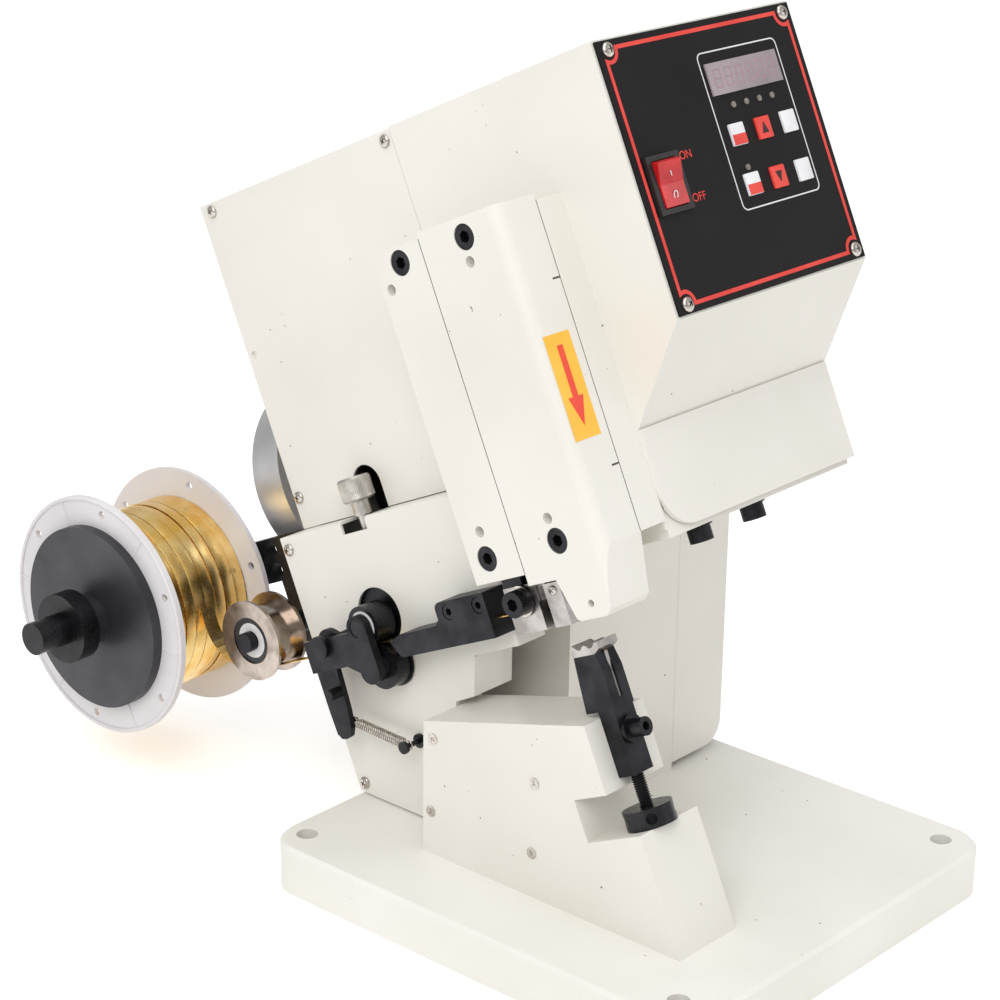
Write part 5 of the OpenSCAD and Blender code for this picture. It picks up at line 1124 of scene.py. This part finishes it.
@dataclass
class Reel:
    """Reel, winding, guide pulley and their bracket."""

    centre_b: float = 257.6
    centre_h: float = 199.6
    front_x: float = -102.0
    back_x: float = -31.0
    flange_w: float = 3.3
    rim_r: float = 72.25
    wound_r: float = 55.6
    core_r: float = 29.0
    bands: int = 8
    pulley_face: tuple = (-76.3, 161.4, 161.625)

    def facing(self, x: float) -> Matrix:
        """Gives the placing of a round piece on the reel's axis, looking to the left."""
        return Side.LEFT.matrix(at(x, self.centre_b, self.centre_h))

    def make(self, frame: dict, repeater: Repeater) -> None:
        """Dresses the reel and adds its rims, ribs, winding and bearing rings."""
        Kit.dress(frame, REEL_WHITE, "reel_spool")
        Kit.dress(frame, BLACK_OXIDE, "reel_bracket")
        Kit.dress(frame, BLACK_DISC, "hub_disc")
        Kit.dress(frame, BLACK_TURNED, "reel_shaft")
        Kit.dress(frame, TURNED_PULLEY, "guide_pulley")
        self.ribs(repeater)
        self.lip()
        self.winding()
        self.bearing()

    def ribs(self, repeater: Repeater) -> None:
        """Sets six low ribs on the front flange's outer face."""
        inner, outer, half_w, rise = 55.5, 70.0, 0.5, 0.6
        form = Kit.mesh("rib", plate(box(inner, outer, -half_w, half_w), -0.1, rise))
        centre = at(self.front_x, self.centre_b, self.centre_h)
        turns = (math.radians(30 + 60 * i) for i in range(6))
        rows = [(centre, -RIGHT, math.cos(a) * REAR + math.sin(a) * UP) for a in turns]
        repeater.set_free("reel_ribs", form, rows, REEL_WHITE, "reel")

    def lip(self) -> None:
        """Raises the rounded lip round the front flange."""
        inner, flank, rise, foot = 69.9, 0.7, 1.1, -0.1
        profile = [(inner, foot), (self.rim_r, foot), (self.rim_r, flank), (self.rim_r - 0.65, rise),
                   (inner + 0.6, rise), (inner, flank), (inner, foot)]
        lip = turned(profile, steps=128)
        Kit.form("reel_front_lip", lip, self.facing(self.front_x), REEL_WHITE, "reel", smooth_deg=40)

    def winding(self) -> None:
        """Winds bands of strip side by side, each a little tilted, with dark gaps between them."""
        x0, x1, steps = self.front_x + self.flange_w, self.back_x - self.flange_w, 96
        total = (self.bands + 1) * steps
        pitch = (x1 - x0) / self.bands
        thin, gap, wander, tilt, thick, shoulder, core_drop = 0.2, 0.22, 0.5, 0.24, 0.9, 0.8, 1.3
        top = self.wound_r - 0.25
        core_top = self.wound_r - core_drop
        core = [(self.core_r, -x1), (core_top, -x1), (core_top, -x0), (self.core_r, -x0), (self.core_r, -x1)]

        def section(i: int) -> tuple:
            """Gives x and radius of the band's corners at one step. Slow sines vary its place and tilt."""
            share, t = i / total, i / steps
            mid = x0 + pitch * (t - 0.5) + wander * math.sin(2.9 * t + 1) * math.sin(math.pi * share)
            half = pitch / 2 - gap - 0.12 * math.sin(4.3 * t)
            low, high = max(x0, min(mid - half, x1 - thin)), min(x1, max(mid + half, x0 + thin))
            x, half = (low + high) / 2, (high - low) / 2
            tip = tilt * math.sin(1.7 * math.floor(t) + 2) + 0.1 * math.sin(1.9 * t)
            return ((x - half, top - thick), (x - half, top - 0.12 - tip),
                    (x - half * shoulder, top - tip * shoulder),
                    (x + half * shoulder, top + tip * shoulder - 0.1),
                    (x + half, top - 0.22 + tip), (x + half, top - thick))

        def band(bm: BMesh) -> None:
            rails = [[bm.verts.new((*polar(r, 2 * math.pi * i / steps), -x)) for x, r in section(i)]
                     for i in range(total + 1)]
            skin(bm, rails)
            bm.faces.new(rails[0])
            bm.faces.new(rails[-1][::-1])
        bands = Kit.form("strip_bands", band, self.facing(0.0), BRASS, "reel", smooth_deg=20)
        Kit.form("winding_core", turned(core, steps), self.facing(0.0), DARK_BRASS, "reel", smooth_deg=30)
        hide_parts("strip_winding")

    def bearing(self) -> None:
        """Sets the guide pulley's bearing: dark seal, pale ring."""
        place = Side.LEFT.matrix(at(*self.pulley_face))
        for name, inner, outer, rise, finish in (("pulley_seal", 10.3, 13.7, 0.2, SEAL),
                                                 ("pulley_inner_ring", 5.6, 10.3, 0.3, NYLON)):
            Kit.form(name, collar(inner, outer, rise), place, finish, "pulley", smooth_deg=30)


@dataclass(frozen=True)
class Studio:
    """Floor, lights and the camera at the photograph's view."""

    lens: float = 98.86
    sensor_mm: float = 36.0
    eye: tuple = (-1.06553, -0.84287, 0.728)
    azimuth: float = -48.65276881709605
    elevation: float = 20.338500815958362
    roll: float = 0.7908109285902207
    floor_half: float = 6.0
    floor_glow: float = 0.4
    world_glow: float = 0.58
    aim: tuple = (0.0, 0.05, 0.2)
    lamps: tuple = (("key", (-1.6, -0.7, 1.9), 1.5, 26.0), ("fill", (1.2, -1.8, 1.2), 1.6, 5.0),
                    ("top", (-0.1, 0.2, 2.3), 1.8, 12.5))

    def camera(self) -> None:
        """Places the camera."""
        data = bpy.data.cameras.new("view")
        data.sensor_width = self.sensor_mm
        data.lens = self.lens
        cam = linked("view", data)
        a, e, t = (math.radians(v) for v in (self.azimuth, self.elevation, self.roll))
        back = Vector((math.sin(a) * math.cos(e), -math.cos(a) * math.cos(e), math.sin(e)))
        right = (-back).cross(Vector((0, 0, 1))).normalized()
        up = right.cross(-back)
        across = math.cos(t) * right + math.sin(t) * up
        over = -math.sin(t) * right + math.cos(t) * up
        placed = Matrix((across, over, back)).transposed().to_4x4()
        placed.translation = self.eye
        cam.matrix_world = placed
        bpy.context.scene.camera = cam

    def white(self, name: str, strength: float) -> bpy.types.Material:
        """Makes a surface that the camera, gloss and glass see as white, and that takes soft shadow."""
        mat, tree = empty_material(name)
        shader = add(tree, "ShaderNodeBsdfDiffuse", {"Color": colour("#FBFAF8")})
        glow = add(tree, "ShaderNodeEmission", {"Color": WHITE, "Strength": strength})
        ray = add(tree, "ShaderNodeLightPath").outputs
        seen = calc(tree, "MAXIMUM", ray["Is Camera Ray"], ray["Is Glossy Ray"])
        both = calc(tree, "MAXIMUM", seen, ray["Is Transmission Ray"])
        lit = add(tree, "ShaderNodeAddShader", {0: shader, 1: glow})
        mix = add(tree, "ShaderNodeMixShader", {0: both, 1: shader, 2: lit})
        add(tree, "ShaderNodeOutputMaterial", {0: mix})
        return mat

    def floor(self) -> None:
        """Makes the pale floor under the base."""
        bm = bmesh.new()
        bmesh.ops.create_grid(bm, x_segments=1, y_segments=1, size=self.floor_half)
        data = bpy.data.meshes.new("floor")
        bm.to_mesh(data)
        bm.free()
        data.materials.append(self.white("pale_floor", self.floor_glow))
        linked("floor", data)

    def lights(self) -> None:
        """Sets a broad key light on the left, a fill, a top light and a soft white world."""
        world = bpy.data.worlds.new("studio")
        bpy.context.scene.world = world
        world.use_nodes = True
        tree = world.node_tree
        tree.nodes.clear()
        glow = add(tree, "ShaderNodeBackground", {"Color": WHITE, "Strength": self.world_glow})
        seen = add(tree, "ShaderNodeBackground", {"Color": WHITE, "Strength": 1.0})
        ray = add(tree, "ShaderNodeLightPath")
        mix = add(tree, "ShaderNodeMixShader", {0: ray.outputs["Is Camera Ray"], 1: glow, 2: seen})
        add(tree, "ShaderNodeOutputWorld", {0: mix})
        for name, place, size, power in self.lamps:
            data = bpy.data.lights.new(name, "AREA")
            data.size, data.energy = size, power
            lamp = linked(name, data)
            lamp.location = place
            lamp.rotation_euler = (Vector(self.aim) - Vector(place)).to_track_quat("-Z", "Y").to_euler()

    def make(self) -> None:
        """Builds the whole studio."""
        self.camera()
        self.floor()
        self.lights()
        bpy.context.scene.view_settings.view_transform = "Standard"


def main() -> None:
    """Builds the scene: frame first, then the studio and each sub-assembly."""
    logging.basicConfig(level=logging.INFO, format="%(message)s")
    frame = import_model()
    Studio().make()
    repeater = Repeater()
    Housings().make(frame, repeater)
    PanelFace().make(frame, repeater)
    PressTools().make(frame, repeater)
    StripFeed().make(frame)
    Reel().make(frame, repeater)
    bpy.context.view_layer.update()


if __name__ == "__main__":
    main()
